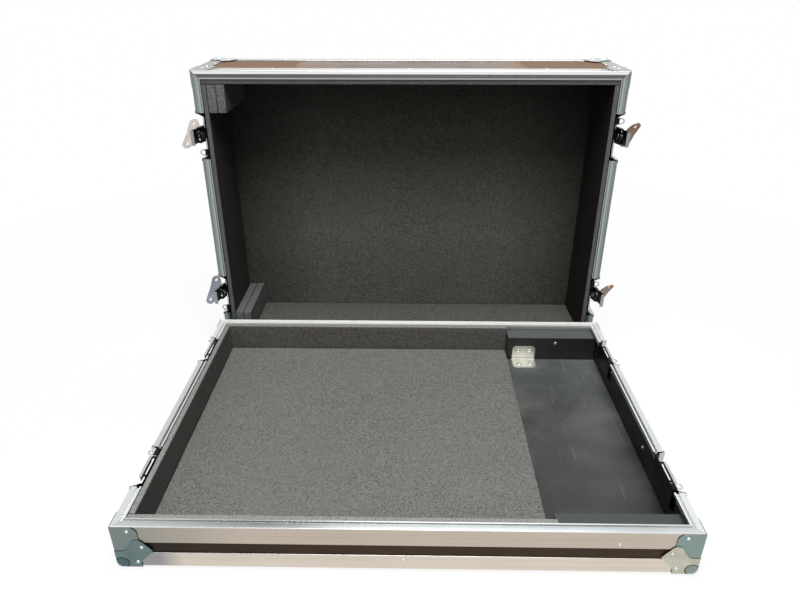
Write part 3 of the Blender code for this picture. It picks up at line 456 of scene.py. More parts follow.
# Painted reflection: the base's rear rim is painted near white
BASE_REAR_BANDS = (
    (0.0000, (0.97, 0.97, 0.96)), (0.0180, (0.97, 0.97, 0.96)), (0.0186, (0.60, 0.60, 0.59)),
    (0.0190, (0.60, 0.60, 0.59)),
)
BASE_SIDE_BANDS = (
    (0.0000, (0.95, 0.96, 0.96)), (0.0020, (0.72, 0.74, 0.74)), (0.0040, (0.60, 0.62, 0.62)),
    (0.0080, (0.66, 0.68, 0.68)), (0.0098, (0.58, 0.60, 0.60)), (0.0120, (0.52, 0.54, 0.54)),
    (0.0145, (0.52, 0.54, 0.54)), (0.0160, (0.90, 0.92, 0.92)), (0.0190, (0.62, 0.64, 0.64)),
)
LID_END_BANDS = (
    (0.0000, (0.58, 0.58, 0.58)), (0.0018, (0.66, 0.67, 0.67)), (0.0035, (0.95, 0.95, 0.94)),
    (0.0070, (0.92, 0.92, 0.91)), (0.0084, (0.17, 0.17, 0.17)), (0.0118, (0.13, 0.13, 0.13)),
    (0.0145, (0.17, 0.17, 0.17)), (0.0160, (0.46, 0.46, 0.455)), (0.0184, (0.46, 0.46, 0.455)),
    (0.0190, (0.06, 0.06, 0.058)),
)
LID_SIDE_BANDS = (
    (0.0000, (0.30, 0.31, 0.31)), (0.0020, (0.20, 0.22, 0.22)), (0.0050, (0.22, 0.25, 0.245)),
    (0.0080, (0.28, 0.32, 0.315)), (0.0110, (0.33, 0.38, 0.37)), (0.0135, (0.42, 0.47, 0.45)),
    (0.0160, (0.38, 0.42, 0.40)), (0.0190, (0.32, 0.34, 0.33)),
)

# Whether the half stands up, the bands at its ends and those at its sides
BASE_BANDS = (False, BASE_END_BANDS, BASE_SIDE_BANDS)
REAR_BANDS = (False, BASE_REAR_BANDS, BASE_SIDE_BANDS)
LID_BANDS = (True, LID_END_BANDS, LID_SIDE_BANDS)

# The aluminium copies differ by painted light: each direction and half has its own lit or shaded
# tone.
RIM_ALONG_X = aluminium(
    "rim_aluminium_x", 0, (0.57, 0.49, 0.41), (0.34, 0.33, 0.29), BASE_BANDS)
# Painted reflection: the base's rear rim is a pale non-metal, painted near white.
RIM_AT_REAR = aluminium(
    "rim_aluminium_rear", 0, (0.80, 0.79, 0.77), (0.76, 0.75, 0.73), REAR_BANDS, 0.0)
RIM_ALONG_Y = aluminium(
    "rim_aluminium_y", 1, (0.56, 0.50, 0.43), (0.50, 0.48, 0.44), BASE_BANDS)
BASE_ANGLES = aluminium(
    "angle_aluminium", 0, (0.72, 0.64, 0.545), (0.34, 0.335, 0.335), BASE_BANDS,
    turns=(-0.405, -0.365))
LID_ALONG_X = aluminium(
    "lid_aluminium_x", 0, (0.60, 0.59, 0.57), (0.56, 0.56, 0.55), LID_BANDS)
LID_ALONG_Z = aluminium(
    "lid_aluminium_z", 2, (0.40, 0.40, 0.39), (0.36, 0.37, 0.37), LID_BANDS)

# The corners share one zinc and the wings another: their differing tones by place are painted light
# and reflection.
LEFT_CORNER = zinc("zinc_corner_left", (0.165, 0.225, 0.23), (0.115, 0.165, 0.17))
LID_CORNER = zinc("zinc_corner_lid", (0.56, 0.59, 0.60), (0.40, 0.43, 0.44), 0.14)
RIGHT_CORNER = zinc("zinc_corner_right", (0.57, 0.56, 0.46), (0.42, 0.41, 0.33), 0.26)
DISH_ZINC = zinc("zinc_dish", (0.58, 0.60, 0.59), (0.42, 0.45, 0.45))
PALE_WING = zinc("zinc_wing_pale", (0.62, 0.57, 0.53), (0.50, 0.45, 0.42), 0.26)
BLUE_WING = zinc("zinc_wing_blue", (0.24, 0.26, 0.29), (0.19, 0.21, 0.235), 0.28)
BROWN_WING = zinc("zinc_wing_brown", (0.25, 0.155, 0.105), (0.17, 0.10, 0.065), 0.28)
SPINDLE_ZINC = zinc("zinc_spindle", (0.46, 0.47, 0.47), (0.20, 0.21, 0.21), 0.24)
BRACKET_ZINC = zinc("zinc_bracket", (0.82, 0.82, 0.77), (0.70, 0.70, 0.65), 0.36)
RIVET_STEEL = zinc("rivet_steel", (0.78, 0.79, 0.79), (0.52, 0.54, 0.55), 0.20)
CLAW_STEEL = zinc("claw_steel", (0.030, 0.030, 0.032), (0.014, 0.014, 0.015), 0.30)

# Painted shade: the outer panels darker towards the case's left end, the bay floor darker towards
# its front
OUTER_SHADE = ("X", -0.42, -0.10, 0.30, 1.0)
BAY_SHADE = ("Y", BASE_Y - 0.8 * HALF_DEPTH, BASE_Y + 0.9 * HALF_DEPTH, 0.14, 1.0)
# One black laminate: these copies' tones are painted light and reflection, grey on the lit bay
# floor, brown on the outer panels, near black on shaded walls and blocks.
OUTER_LAMINATE = laminate(
    "outer_laminate", (0.042, 0.020, 0.006), (0.066, 0.036, 0.016), 0.26, 0.15, OUTER_SHADE)
LID_TOP_LAMINATE = laminate(
    "lid_top_laminate", (0.040, 0.019, 0.007), (0.070, 0.040, 0.020), 0.26, 0.22)
BAY_LAMINATE = laminate(
    "bay_laminate", (0.082, 0.092, 0.090), (0.200, 0.212, 0.200), 0.40, 0.4, BAY_SHADE)
BAY_WALL_LAMINATE = laminate(
    "bay_wall_laminate", (0.005, 0.0055, 0.005), (0.018, 0.019, 0.018), 0.34, 0.3)
BLOCK_LAMINATE = laminate(
    "block_laminate", (0.017, 0.0215, 0.0215), (0.042, 0.050, 0.051), 0.30)
REAR_BLOCK_LAMINATE = laminate(
    "rear_block_laminate", (0.015, 0.0155, 0.015), (0.040, 0.040, 0.039), 0.30)

# Painted light on the foam: its cut edges are painted paler as lit, and the lid's back gets painted
# shade towards its top.
BASE_EDGE = ("Z", RIM_Z - 0.0050, RIM_Z - 0.0035, (0.34, 0.34, 0.33))
LID_EDGE = ("Y", LID_Y + 0.0050, LID_Y + 0.0035, (0.15, 0.15, 0.145))
LID_SHADE = (0.25, 0.62, 1.0, 0.22)
# One foam: these copies' tones are painted light and shade, paler on the lit base floor, near black
# on the lid's shaded side walls.
FLOOR_FOAM = foam("foam_base_floor", (0.136, 0.139, 0.131), 0, 1)
BASE_WALL_FOAM_X = foam(
    "foam_base_upright_x", (0.090, 0.085, 0.078), 0, 2, edge=BASE_EDGE)
BASE_WALL_FOAM_Y = foam(
    "foam_base_upright_y", (0.030, 0.029, 0.026), 1, 2, 0.08, edge=BASE_EDGE)
LID_BACK_FOAM = foam(
    "foam_lid_back", (0.098, 0.095, 0.083), 0, 2, 0.1, shade=LID_SHADE)
LID_LEFT_FOAM = foam(
    "foam_lid_left", (0.012, 0.0102, 0.0088), 1, 2, 0.03, edge=LID_EDGE)
LID_RIGHT_FOAM = foam(
    "foam_lid_right", (0.0055, 0.0048, 0.0040), 1, 2, 0.02, edge=LID_EDGE)
LID_SHELF_FOAM = foam(
    "foam_lid_shelf", (0.085, 0.086, 0.077), 0, 1, 0.1, edge=LID_EDGE)
BLOCK_FOAM = foam(
    "foam_block", (0.108, 0.112, 0.113), 0, 2, 0.1, inner=True)


# What single materials have on top of that

def lid_top_sheen():
    """Seen along it, the standing lid's top has a painted sheen: grey in the middle and warm brown
    beside it.
    """
    tree, shader = shader_of(LID_TOP_LAMINATE)
    view = add(tree, "ShaderNodeLayerWeight", Blend=0.5)
    glancing = spread(tree, view.outputs["Facing"], 0.55, 0.80, 0.0, 1.0)
    beside = spread(tree, absolute(tree, spot_of(tree)["X"]), 0.13, 0.26, 0.0, 1.0)
    # Painted reflection: warm brown at glancing views beside the middle
    warm = math_of(tree, "MULTIPLY", glancing, beside)
    paint_over(tree, shader, warm, (0.205, 0.140, 0.100))
    lustre = spread(tree, warm, 0.0, 1.0, 0.22, 0.0)
    link(tree, lustre, shader.inputs["Specular IOR Level"])


def corner_outlines(made, ball, brace, crease_shade_strength):
    """On a corner, the ball is painted a tone of its own as light and shade, a painted shadow ring
    lies where it seats, and creases get painted shade.

    The ball's place comes from its own radius and inset. In the base the brace under the wings has
    its own tone too. The last argument is how dark the painted shade in the creases gets.
    """
    tree, shader = shader_of(made)
    spot = spot_of(tree)
    if made is LID_CORNER:
        along, centre, outward, ball_at = "Z", LID_MIDDLE, "Y", LID_HIGH[1] - BALL_INSET
    else:
        along, centre, outward, ball_at = "Y", BASE_Y, "Z", BALL_PROUD + BALL_INSET
    side = math_of(tree, "SUBTRACT", absolute(tree, spot["X"]), HALF_WIDTH - BALL_INSET)
    end = absolute(tree, math_of(tree, "SUBTRACT", spot[along], centre))
    end = math_of(tree, "SUBTRACT", end, HALF_DEPTH - BALL_INSET)
    deep = math_of(tree, "SUBTRACT", spot[outward], ball_at)
    away = add(tree, "ShaderNodeCombineXYZ")
    for socket, value in zip(away.inputs, (side, end, deep)):
        link(tree, value, socket)
    distance = length_of(tree, away.outputs["Vector"])
    if brace:
        proud = math_of(tree, "SUBTRACT", math_of(tree, "MAXIMUM", side, end), BALL_INSET)
        under_wings = spread(tree, proud, BRACE_THICK + 0.0002, WING_THICK - 0.0003, 1.0, 0.0)
        paint_over(tree, shader, under_wings, brace)
    # Painted light and shade: the ball's own tone
    on_ball = spread(tree, distance, BALL_RADIUS + 0.0002, BALL_RADIUS + 0.0004, 1.0, 0.0)
    paint_over(tree, shader, on_ball, ball)
    # Painted shadow: a dark ring where the ball seats
    ring = absolute(tree, math_of(tree, "SUBTRACT", distance, BALL_RADIUS + 0.0009))
    paint_over(tree, shader, spread(tree, ring, 0.0005, 0.0009, 0.85, 0.0), CREASE_SHADE)
    # Painted shade in the creases, from ambient occlusion
    shadow = add(tree, "ShaderNodeAmbientOcclusion", Distance=0.0030)
    shadow.samples = 8
    crease = spread(tree, shadow.outputs["AO"], 0.55, 0.92, crease_shade_strength, 0.0)
    paint_over(tree, shader, crease, CREASE_SHADE)


def dish_backs():
    """The dishes' backs, which face into the case, are black like the wall around them; their faces
    deeper than 10 mm into the case are painted dark as shade.
    """
    tree, shader = shader_of(DISH_ZINC)
    spot = spot_of(tree)
    side = math_of(tree, "SIGN", spot["X"], 0.0)
    outward = math_of(tree, "MULTIPLY", normal_of(tree)["X"], side)
    wall = HALF_WIDTH - 0.0100
    in_case = spread(tree, absolute(tree, spot["X"]), wall, wall + 0.0005, 1.0, 0.0)
    # Painted shade: faces deep in the pocket
    pocket_shade = math_of(tree, "MULTIPLY", in_case, spread(tree, outward, 0.4, 0.6, 1.0, 0.0))
    inner = math_of(tree, "MAXIMUM", spread(tree, outward, -0.7, -0.5, 1.0, 0.0), pocket_shade)
    paint_over(tree, shader, inner, (0.012, 0.012, 0.012))


def bracket_bend():
    """The bracket's bend: a painted shade line between its upright, painted darker as shaded, and
    its paler, lit foot.
    """
    tree, shader = shader_of(BRACKET_ZINC)
    level = RIM_Z - FLOOR_DEPTH + BRACKET_THICK
    share = spread(tree, spot_of(tree)["Z"], level, level + 0.010, 0.0, 1.0)
    # Painted light and shade: lit foot, shaded bend and upright
    foot, bend, upright = (1.0, 1.0, 1.0), (0.25, 0.24, 0.22), (0.72, 0.71, 0.68)
    stops = ((0.0, foot), (0.12, foot), (0.16, bend), (0.34, bend), (0.40, upright),
             (1.0, (0.82, 0.81, 0.78)))
    paint_over(tree, shader, 1.0, ramp(tree, share, stops), "MULTIPLY")


def rear_block_top():
    """The rear block's top, just under the rim, is painted paler than its front, as lit from above.
    """
    tree, shader = shader_of(REAR_BLOCK_LAMINATE)
    upward = spread(tree, normal_of(tree)["Z"], 0.4, 0.8, 0.0, 1.0)
    # Painted light on the faces turned up
    paint_over(tree, shader, upward, (0.105, 0.116, 0.119))


def claw_lip_highlights():
    """Each claw gets a painted highlight on the lip that hooks the keeper."""
    tree, shader = shader_of(CLAW_STEEL)
    tip = min(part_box(name)[0][1] for name in nodes if "claw" in name)
    # Painted highlight on the lip
    lip_highlight = spread(tree, spot_of(tree)["Y"], tip + 0.0024, tip + 0.0034, 1.0, 0.0)
    paint_over(tree, shader, lip_highlight, (0.30, 0.30, 0.30))


# Pieces, and the nodes that keep their CAD shape

OWN_MATERIALS = {
    "base_rear_rim": RIM_AT_REAR,
    "base_floor_panel": BAY_LAMINATE,
    "base_right_panel": BAY_WALL_LAMINATE,
    "lid_front_panel": LID_TOP_LAMINATE,
    "bay_rear_block": REAR_BLOCK_LAMINATE,
    "bay_front_block": BLOCK_LAMINATE,
    "bay_bracket": BRACKET_ZINC,
}


def material_of(name):
    """The material of a node that isn't foam."""
    lid = name.startswith("lid")
    left = "left" in name
    if name in OWN_MATERIALS:
        return OWN_MATERIALS[name]
    if "rim" in name:
        if "front" in name or "rear" in name:
            return LID_ALONG_X if lid else RIM_ALONG_X
        return LID_ALONG_Z if lid else RIM_ALONG_Y
    if "edge_angles" in name:
        return LID_ALONG_X if lid else BASE_ANGLES
    if "panel" in name:
        return OUTER_LAMINATE
    # Painted light: the corners' and wings' zinc copies are picked by where they sit.
    if "corner" in name:
        if lid:
            return LID_CORNER
        return LEFT_CORNER if left else RIGHT_CORNER
    if "claw" in name or "carrier" in name:
        return CLAW_STEEL
    if "wing" in name:
        if not left:
            return BROWN_WING
        return PALE_WING if "front" in name else BLUE_WING
    return SPINDLE_ZINC if "spindle" in name else DISH_ZINC


def finish_nodes():
    """Materials and fine edges for the nodes that keep their CAD shape."""
    for name, item in nodes.items():
        if "foam" in name:
            continue
        item.data.materials.clear()
        item.data.materials.append(material_of(name))
        item.data.shade_smooth()
        weld = item.modifiers.new("weld", "WELD")
        weld.merge_threshold = 0.00001
        edge = item.modifiers.new("fine_edges", "BEVEL")
        edge.width = 0.0004 if "latch" in name or "keeper" in name else 0.0006
        edge.segments = 2
        edge.limit_method = "ANGLE"
        edge.angle_limit = math.radians(40)
        edge.harden_normals = False
        split = item.modifiers.new("sharp_edges", "EDGE_SPLIT")
        split.split_angle = math.radians(42)
        item.modifiers.new("flat_faces", "WEIGHTED_NORMAL")


def new_piece(name, mesh, body, material):
    data = bpy.data.meshes.new(name)
    bmesh.ops.recalc_face_normals(mesh, faces=mesh.faces)
    mesh.to_mesh(data)
    mesh.free()
    data.materials.append(material)
    data.shade_smooth()
    data.set_sharp_from_angle(angle=math.radians(50))
    made = bpy.data.objects.new(name, data)
    bpy.context.scene.collection.objects.link(made)
    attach(made, body)
    return made


# Foam

def steps_between(low, high, radius, size):
    """Grid lines along one side of a slab, closer at both rounded ends."""
    flat = high - low - 2 * radius
    count = max(1, round(flat / size))
    inner = [low + radius + flat * step / count for step in range(count + 1)]
    return [low, low + radius * 0.35] + inner + [high - radius * 0.35, high]


def slab(low, high, radius, swell, seed):
    """A foam sheet: a finely divided slab with soft round edges and a slightly uneven face."""
    grids = [steps_between(low[axis], high[axis], radius, FOAM_GRID) for axis in range(3)]
    mesh = bmesh.new()
    points = {}

    def vertex(key):
        if key not in points:
            raw = Vector([grids[axis][key[axis]] for axis in range(3)])
            core = Vector([
                min(max(raw[axis], low[axis] + radius), high[axis] - radius) for axis in range(3)])
            away = raw - core
            if away.length > 0:
                away.normalize()
            wave = noise.noise(raw * 17.0 + Vector((seed, 0.0, 0.0)))
            fine = noise.noise(raw * 60.0 + Vector((0.0, seed, 0.0)))
            reach = radius - swell * (0.5 - 0.4 * wave - 0.1 * fine)
            points[key] = mesh.verts.new(core + away * reach)
        return points[key]

    last = [len(grid) - 1 for grid in grids]
    for axis in range(3):
        first, second = [other for other in range(3) if other != axis]
        for end in (0, last[axis]):
            for i in range(last[first]):
                for j in range(last[second]):
                    keys = []
                    for di, dj in ((0, 0), (1, 0), (1, 1), (0, 1)):
                        key = [0, 0, 0]
                        key[axis] = end
                        key[first] = i + di
                        key[second] = j + dj
                        keys.append(vertex(tuple(key)))
                    mesh.faces.new(keys)
    return mesh


def foam_slab(name, body, box, radius, material, stands_for, seed, swell=STRIP_SWELL):
    """A foam sheet, its box given in its half's own frame. It stands for the CAD nodes named."""
    corners = [HALVES[body] @ Vector(corner) for corner in box]
    start = [min(pair) for pair in zip(*corners)]
    end = [max(pair) for pair in zip(*corners)]
    made = new_piece(name, slab(start, end, radius, swell, seed), body, material)
    if stands_for:
        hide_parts(*stands_for)


def base_lining():
    """Foam strips on three walls and a sheet on the floor."""
    lip_x, in_x = HALF_WIDTH - FOAM_LIP, HALF_WIDTH - FOAM_REACH
    lip_y, in_y = HALF_DEPTH - FOAM_LIP, HALF_DEPTH - FOAM_REACH
    between = in_y - FOAM_END_GAP
    top = FOAM_BELOW_RIM
    bottom = FLOOR_DEPTH - FOAM_OFF_PANEL
    rear = (-BAY_FROM, in_y, top), (lip_x, lip_y, bottom)
    front = (-BAY_FROM, -lip_y, top), (lip_x, -in_y, bottom)
    left = (in_x, -between, top), (lip_x, between, bottom)
    sheet = (-BAY_FROM + 0.001, -between, FOAM_FLOOR_DEPTH), (in_x - FOAM_END_GAP, between, bottom)
    foam_slab("base_foam_rear_strip", "base", rear, STRIP_EDGE, BASE_WALL_FOAM_X,
              ["base_foam_walls"], 1.0)
    foam_slab("base_foam_front_strip", "base", front, STRIP_EDGE, BASE_WALL_FOAM_X, [], 2.0)
    foam_slab("base_foam_left_strip", "base", left, STRIP_EDGE, BASE_WALL_FOAM_Y, [], 3.0)
    foam_slab("base_foam_sheet", "base", sheet, SHEET_EDGE, FLOOR_FOAM,
              ["base_foam_floor"], 4.0, SHEET_SWELL)


def lid_lining():
    """Foam on the lid's back and its four walls, and a block of two layers in each left corner."""
    lip_x, in_x = HALF_WIDTH - FOAM_LIP, HALF_WIDTH - FOAM_REACH
    lip_y, in_y = HALF_DEPTH - FOAM_LIP, HALF_DEPTH - FOAM_REACH
    between = in_y - FOAM_END_GAP
    top = FOAM_BELOW_RIM
    bottom = LID_FOAM_DEPTH - 0.0003
    back = (-lip_x, -lip_y, LID_FOAM_DEPTH), (lip_x, lip_y, LID_BACK_DEPTH - FOAM_OFF_PANEL)
    upper = (-lip_x, -lip_y, top), (lip_x, -in_y, bottom)
    lower = (-lip_x, in_y, top), (lip_x, lip_y, bottom)
    left = (-lip_x, -between, top), (-in_x, between, bottom)
    right = (in_x, -between, top), (lip_x, between, bottom)
    foam_slab("lid_foam_back", "lid", back, STRIP_EDGE, LID_BACK_FOAM,
              ["lid_foam_liner"], 5.0, SHEET_SWELL)
    foam_slab("lid_foam_upper_wall", "lid", upper, STRIP_EDGE, LID_SHELF_FOAM, [], 6.0)
    foam_slab("lid_foam_lower_wall", "lid", lower, STRIP_EDGE, LID_SHELF_FOAM, [], 7.0)
    foam_slab("lid_foam_left_wall", "lid", left, STRIP_EDGE, LID_LEFT_FOAM, [], 7.0)
    foam_slab("lid_foam_right_wall", "lid", right, STRIP_EDGE, LID_RIGHT_FOAM, [], 9.0)
    for along, word in ((-1, "front"), (1, "rear")):
        near, far = sorted((along * (in_y - BLOCK_GAP), along * (in_y - BLOCK_LONG)))
        for index in (0, 1):
            start = -in_x + BLOCK_GAP + index * BLOCK_LAYER
            end = start + BLOCK_LAYER - 0.0003
            block = (start, near, top + 0.0002), (end, far, bottom - FOAM_END_GAP)
            name = f"lid_foam_{word}_block_layer_{index + 1}"
            stands_for = [f"lid_foam_block_{word}"] if index == 0 else []
            seed = 12.0 + 2 * along + index
            foam_slab(name, "lid", block, BLOCK_EDGE, BLOCK_FOAM, stands_for, seed)


# Rivets and screws. A profile holds (share of the radius, share of the height).

RIVET_PROFILE = (
    (1.00, 0.00), (1.00, 0.16), (0.88, 0.34), (0.66, 0.48), (0.45, 0.54), (0.36, 0.50),
    (0.32, 0.36), (0.00, 0.34),
)
SCREW_PROFILE = ((1.00, 0.00), (1.00, 0.14), (0.90, 0.40), (0.70, 0.62), (0.46, 0.74), (0.0, 0.80))

# On a corner's wings and braces: how far in from the corner, and how far from the outer face.
# On its braces the second number is the distance from the meeting plane.
BASE_WING_RIVETS = ((0.0459, 0.0441), (0.0343, 0.0109))
LID_WING_RIVETS = (*BASE_WING_RIVETS, (0.0119, 0.0343))
BASE_BRACE_RIVETS = ((0.027, 0.010),)
LID_BRACE_RIVETS = ((0.020, 0.027), (0.0226, 0.0514))

# Round a dish, in y from the latch's middle and in depth from the meeting plane
DISH_RIVETS = (
    (-0.0545, 0.012), (0.0545, 0.012), (-0.0545, 0.044), (0.0545, 0.044),
    (-0.038, 0.0525), (0.038, 0.0525),
)
DISH_FLANGE = 0.0016

# On the bay's side wall, in y from the base's front and in z from the rim
BAY_WALL_RIVETS = (
    (0.639, -0.022), (0.557, -0.045), (0.498, -0.026), (0.261, -0.045), (0.157, -0.050),
    (0.126, -0.021),
)


def revolve(mesh, profile, size, height, matrix, steps=14):
    """Add a turned form, standing on its own xy plane, to a mesh."""
    rings = []
    for radius, lift in profile:
        level = lift * height
        if radius == 0:
            rings.append([mesh.verts.new(matrix @ Vector((0.0, 0.0, level)))])
            continue
        ring = []
        for step in range(steps):
            angle = math.tau * step / steps
            x, y = radius * size * math.cos(angle), radius * size * math.sin(angle)
            ring.append(mesh.verts.new(matrix @ Vector((x, y, level))))
        rings.append(ring)
    for first, second in zip(rings, rings[1:]):
        for step in range(steps):
            after = (step + 1) % steps
            if len(second) == 1:
                mesh.faces.new((first[step], first[after], second[0]))
            else:
                mesh.faces.new((first[step], first[after], second[after], second[step]))
    mesh.faces.new(rings[0][::-1])


def facing(point, normal):
    """A matrix that stands things on a point, along a normal."""
    turn = Vector(normal).to_track_quat("Z", "Y").to_matrix().to_4x4()
    return Matrix.Translation(point) @ turn


def rivet_set(name, body, half, places, size):
    """Many rivet heads as one piece. Each place is a point and an outward normal in a frame."""
    mesh = bmesh.new()
    turn = half.to_3x3()
    for point, normal in places:
        revolve(mesh, RIVET_PROFILE, *size, facing(half @ Vector(point), turn @ Vector(normal)))
    new_piece(name, mesh, body, RIVET_STEEL)


def corner_rivets(height, wing_places, brace_places):
    places = []
    for side in (-1, 1):
        for along in (-1, 1):
            wing_x = side * (HALF_WIDTH + WING_THICK)
            wing_y = along * (HALF_DEPTH + WING_THICK)
            for reach, lift in wing_places:
                x = side * (HALF_WIDTH - reach)
                y = along * (HALF_DEPTH - reach)
                places.append(((wing_x, y, height - lift), (side, 0, 0)))
                places.append(((x, wing_y, height - lift), (0, along, 0)))
                across = along * (HALF_DEPTH - lift)
                places.append(((x, across, height + WING_THICK), (0, 0, 1)))
            brace_x = side * (HALF_WIDTH + BRACE_THICK)
            brace_y = along * (HALF_DEPTH + BRACE_THICK)
            for reach, depth in brace_places:
                places.append(((brace_x, along * (HALF_DEPTH - reach), depth), (side, 0, 0)))
                places.append(((side * (HALF_WIDTH - reach), brace_y, depth), (0, along, 0)))
    return places


def dish_rivets():
    return [
        ((side * (HALF_WIDTH + DISH_FLANGE), along * LATCH_Y + y, depth), (side, 0, 0))
        for side in (-1, 1) for along in (-1, 1) for y, depth in DISH_RIVETS
    ]


def base_edge_rivets():
    places = []
    for along in (-1, 1):
        for x, depth in ((0.004, 0.067), (-0.343, 0.027)):
            places.append(((x, along * HALF_DEPTH, depth), (0, along, 0)))
    for side in (-1, 1):
        for depth in (0.067, 0.026):
            places.append(((side * HALF_WIDTH, 0.0, depth), (side, 0, 0)))
    return places


def lid_edge_rivets():
    """Rivets above the corners' wings, then along the rims, the angles and the angles' tops."""
    near_rim, near_top, past_wing, on_top = 0.027, 0.184, 0.103, HALF_DEPTH - 0.016
    places = []
    for side in (-1, 1):
        for along in (-1, 1):
            x, y = side * (HALF_WIDTH - 0.028), along * (HALF_DEPTH - 0.020)
            places.append(((x, along * HALF_DEPTH, past_wing), (0, along, 0)))
            places.append(((side * HALF_WIDTH, y, past_wing), (side, 0, 0)))
    for along in (-1, 1):
        for x in (-0.30, 0.0, 0.30):
            places.append(((x, along * HALF_DEPTH, near_rim), (0, along, 0)))
            places.append(((x, along * HALF_DEPTH, near_top), (0, along, 0)))
            places.append(((x, along * on_top, LID_HEIGHT), (0, 0, 1)))
    for side in (-1, 1):
        for y in (-0.1, 0.1):
            places.append(((side * HALF_WIDTH, y, near_rim), (side, 0, 0)))
            places.append(((side * HALF_WIDTH, y, near_top), (side, 0, 0)))
            places.append(((side * (HALF_WIDTH - 0.016), y, LID_HEIGHT), (0, 0, 1)))
    return places


def bay_rivets():
    """Rivet ends on the bay's side wall, its rear block and the bracket's upright flange."""
    front = BASE_Y - HALF_DEPTH
    wall = HALF_WIDTH - 0.0108
    rear_face = BASE_Y + BAY_FACE
    places = [((wall, front + y, RIM_Z + z), (-1, 0, 0)) for y, z in BAY_WALL_RIVETS]
    places.append(((0.364, rear_face, RIM_Z - 0.030), (0, -1, 0)))
    for x in BRACKET_HOLES_X:
        places.append(((x, rear_face - 0.0023, RIM_Z - 0.050), (0, -1, 0)))
    return places


def bay_screws():
    """Two cross-head screws on the bracket's flat flange."""
    mesh = bmesh.new()
    level = RIM_Z - FLOOR_DEPTH + BRACKET_THICK
    y = BASE_Y + BAY_FACE - 0.025
    for index, x in enumerate(BRACKET_HOLES_X):
        matrix = facing((x, y, level), (0, 0, 1)) @ Matrix.Rotation(0.4 + index, 4, "Z")
        revolve(mesh, SCREW_PROFILE, 0.0050, 0.0028, matrix, 16)
        for turn in (0.0, math.pi / 2):
            cross_arm(mesh, matrix @ Matrix.Rotation(turn, 4, "Z"))
    new_piece("bay_screws", mesh, "base", RIVET_STEEL)


def cross_arm(mesh, matrix):
    """One arm of a screw's cross: a bar that stands a hair over the head, so its outline shows."""
    half_long, half_wide, low, high = 0.0027, 0.00050, 0.0013, 0.00245
    rings = []
    for z in (low, high):
        ring = []
        for x, y in ((-1, -1), (1, -1), (1, 1), (-1, 1)):
            ring.append(mesh.verts.new(matrix @ Vector((x * half_long, y * half_wide, z))))
        rings.append(ring)
    mesh.faces.new(rings[0][::-1])
    mesh.faces.new(rings[1])
    for index in range(4):
        after = (index + 1) % 4
        mesh.faces.new((rings[0][index], rings[0][after], rings[1][after], rings[1][index]))


def hardware():
    base, lid = HALVES["base"], HALVES["lid"]
    base_corners = corner_rivets(BASE_HEIGHT, BASE_WING_RIVETS, BASE_BRACE_RIVETS)
    lid_corners = corner_rivets(LID_HEIGHT, LID_WING_RIVETS, LID_BRACE_RIVETS)
    rivet_set("base_corner_rivets", "base", base, base_corners, CORNER_RIVET)
    rivet_set("lid_corner_rivets", "lid", lid, lid_corners, CORNER_RIVET)
    rivet_set("base_keeper_rivets", "base", base, dish_rivets(), DISH_RIVET)
    rivet_set("lid_dish_rivets", "lid", lid, dish_rivets(), DISH_RIVET)
    rivet_set("base_edge_rivets", "base", base, base_edge_rivets(), EDGE_RIVET)
    rivet_set("lid_edge_rivets", "lid", lid, lid_edge_rivets(), EDGE_RIVET)
    rivet_set("bay_rivets", "base", Matrix.Identity(4), bay_rivets(), BAY_RIVET)
    bay_screws()


# Studio

# Name, place, aim, width, power and colour
LAMPS = (
    ("overhead", (0.1, -0.75, 2.7), (0.0, 0.0, 0.1), 1.7, 78.0, (1.0, 0.99, 0.97)),
    ("rear_high", (0.3, 1.9, 2.5), (0.0, -0.3, 0.1), 1.8, 24.0, (0.96, 0.99, 1.0)),
    ("front_left", (-2.2, -2.0, 1.9), (0.0, 0.0, 0.2), 1.2, 8.0, (1.0, 0.99, 0.98)),
)

# The camera that was fitted to the photo
CAMERA_X = 0.0028
CAMERA_BACK = 0.7458
CAMERA_RISE = 0.7953
CAMERA_DOWN = math.radians(27.246)
CAMERA_LEFT = math.radians(0.918)
CAMERA_LENS = 29.103
CAMERA_SENSOR = 36.0


def seen_rays(tree):
    """1 for rays that the camera, a gloss or a transmission sends."""
    path = add(tree, "ShaderNodeLightPath")
    total = math_of(tree, "ADD", path.outputs["Is Camera Ray"], path.outputs["Is Glossy Ray"])
    total = math_of(tree, "ADD", total, path.outputs["Is Transmission Ray"])
    return math_of(tree, "MINIMUM", total, 1.0)


def mix_shaders(tree, factor, first, second, output):
    mixed = add(tree, "ShaderNodeMixShader")
    link(tree, factor, mixed.inputs["Fac"])
    link(tree, first, mixed.inputs[1])
    link(tree, second, mixed.inputs[2])
    link(tree, mixed.outputs["Shader"], output.inputs["Surface"])


def white_world():
    """A dim warm sky that is seen as plain white."""
    world = bpy.data.worlds.new("studio")
    bpy.context.scene.world = world
    world.use_nodes = True
    tree = world.node_tree
    sky = tree.nodes["Background"]
    sky.inputs["Color"].default_value = (1.0, 0.985, 0.965, 1.0)
    sky.inputs["Strength"].default_value = 0.16
    white = add(tree, "ShaderNodeBackground", Color=(1.0, 1.0, 1.0, 1.0), Strength=1.0)
    mix_shaders(tree, seen_rays(tree), sky.outputs["Background"], white.outputs["Background"],
                tree.nodes["World Output"])


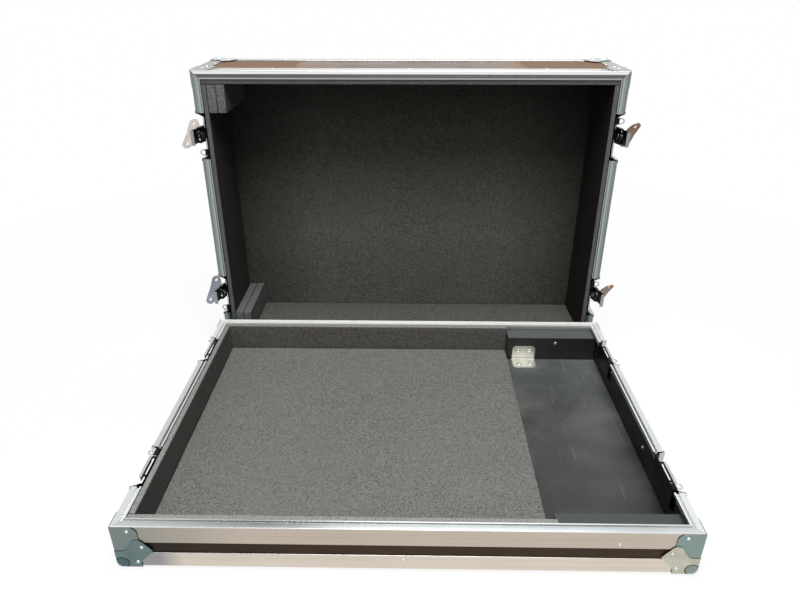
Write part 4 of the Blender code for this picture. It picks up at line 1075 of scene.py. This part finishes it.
def white_floor():
    """A floor with a faint shadow near the case, which is seen as plain white further out."""
    mesh = bmesh.new()
    bmesh.ops.create_grid(mesh, x_segments=1, y_segments=1, size=40.0)
    data = bpy.data.meshes.new("floor")
    mesh.to_mesh(data)
    mesh.free()
    floor = bpy.data.objects.new("floor", data)
    bpy.context.scene.collection.objects.link(floor)
    made, tree, shader = tree_of("studio_floor")
    shader.inputs["Base Color"].default_value = (0.92, 0.92, 0.92, 1.0)
    shader.inputs["Roughness"].default_value = 1.0
    glow = add(tree, "ShaderNodeEmission", Strength=1.0)
    plain = spread(tree, length_of(tree, place(tree)), 0.6, 2.0, 0.89, 0.998)
    factor = math_of(tree, "MULTIPLY", seen_rays(tree), plain)
    mix_shaders(tree, factor, shader.outputs["BSDF"], glow.outputs["Emission"],
                tree.nodes["Material Output"])
    data.materials.append(made)


def lamps():
    for name, location, target, size, power, colour in LAMPS:
        data = bpy.data.lights.new(name, "AREA")
        data.shape = "DISK"
        data.size = size
        data.energy = power
        data.color = colour
        lamp = bpy.data.objects.new(name, data)
        bpy.context.scene.collection.objects.link(lamp)
        lamp.location = location
        aim = Vector(target) - Vector(location)
        lamp.rotation_euler = aim.to_track_quat("-Z", "Y").to_euler()


def camera():
    data = bpy.data.cameras.new("camera")
    data.sensor_fit = "HORIZONTAL"
    data.sensor_width = CAMERA_SENSOR
    data.lens = CAMERA_LENS
    data.clip_start = 0.05
    data.dof.use_dof = False
    made = bpy.data.objects.new("camera", data)
    bpy.context.scene.collection.objects.link(made)
    made.location = (CAMERA_X, BASE_Y - HALF_DEPTH - CAMERA_BACK, RIM_Z + CAMERA_RISE)
    made.rotation_euler = (math.pi / 2 - CAMERA_DOWN, 0.0, CAMERA_LEFT)
    bpy.context.scene.camera = made


# The balls' tones are painted light and shade; the last number sets the painted crease shade.
corner_outlines(LEFT_CORNER, (0.085, 0.135, 0.145), (0.190, 0.235, 0.225), 0.95)
corner_outlines(RIGHT_CORNER, (0.26, 0.30, 0.28), (0.235, 0.310, 0.290), 0.95)
corner_outlines(LID_CORNER, (0.80, 0.83, 0.85), None, 0.8)
lid_top_sheen()
dish_backs()
bracket_bend()
rear_block_top()
claw_lip_highlights()
finish_nodes()
base_lining()
lid_lining()
hardware()
bpy.context.scene.view_settings.view_transform = "Standard"
white_world()
white_floor()
lamps()
camera()
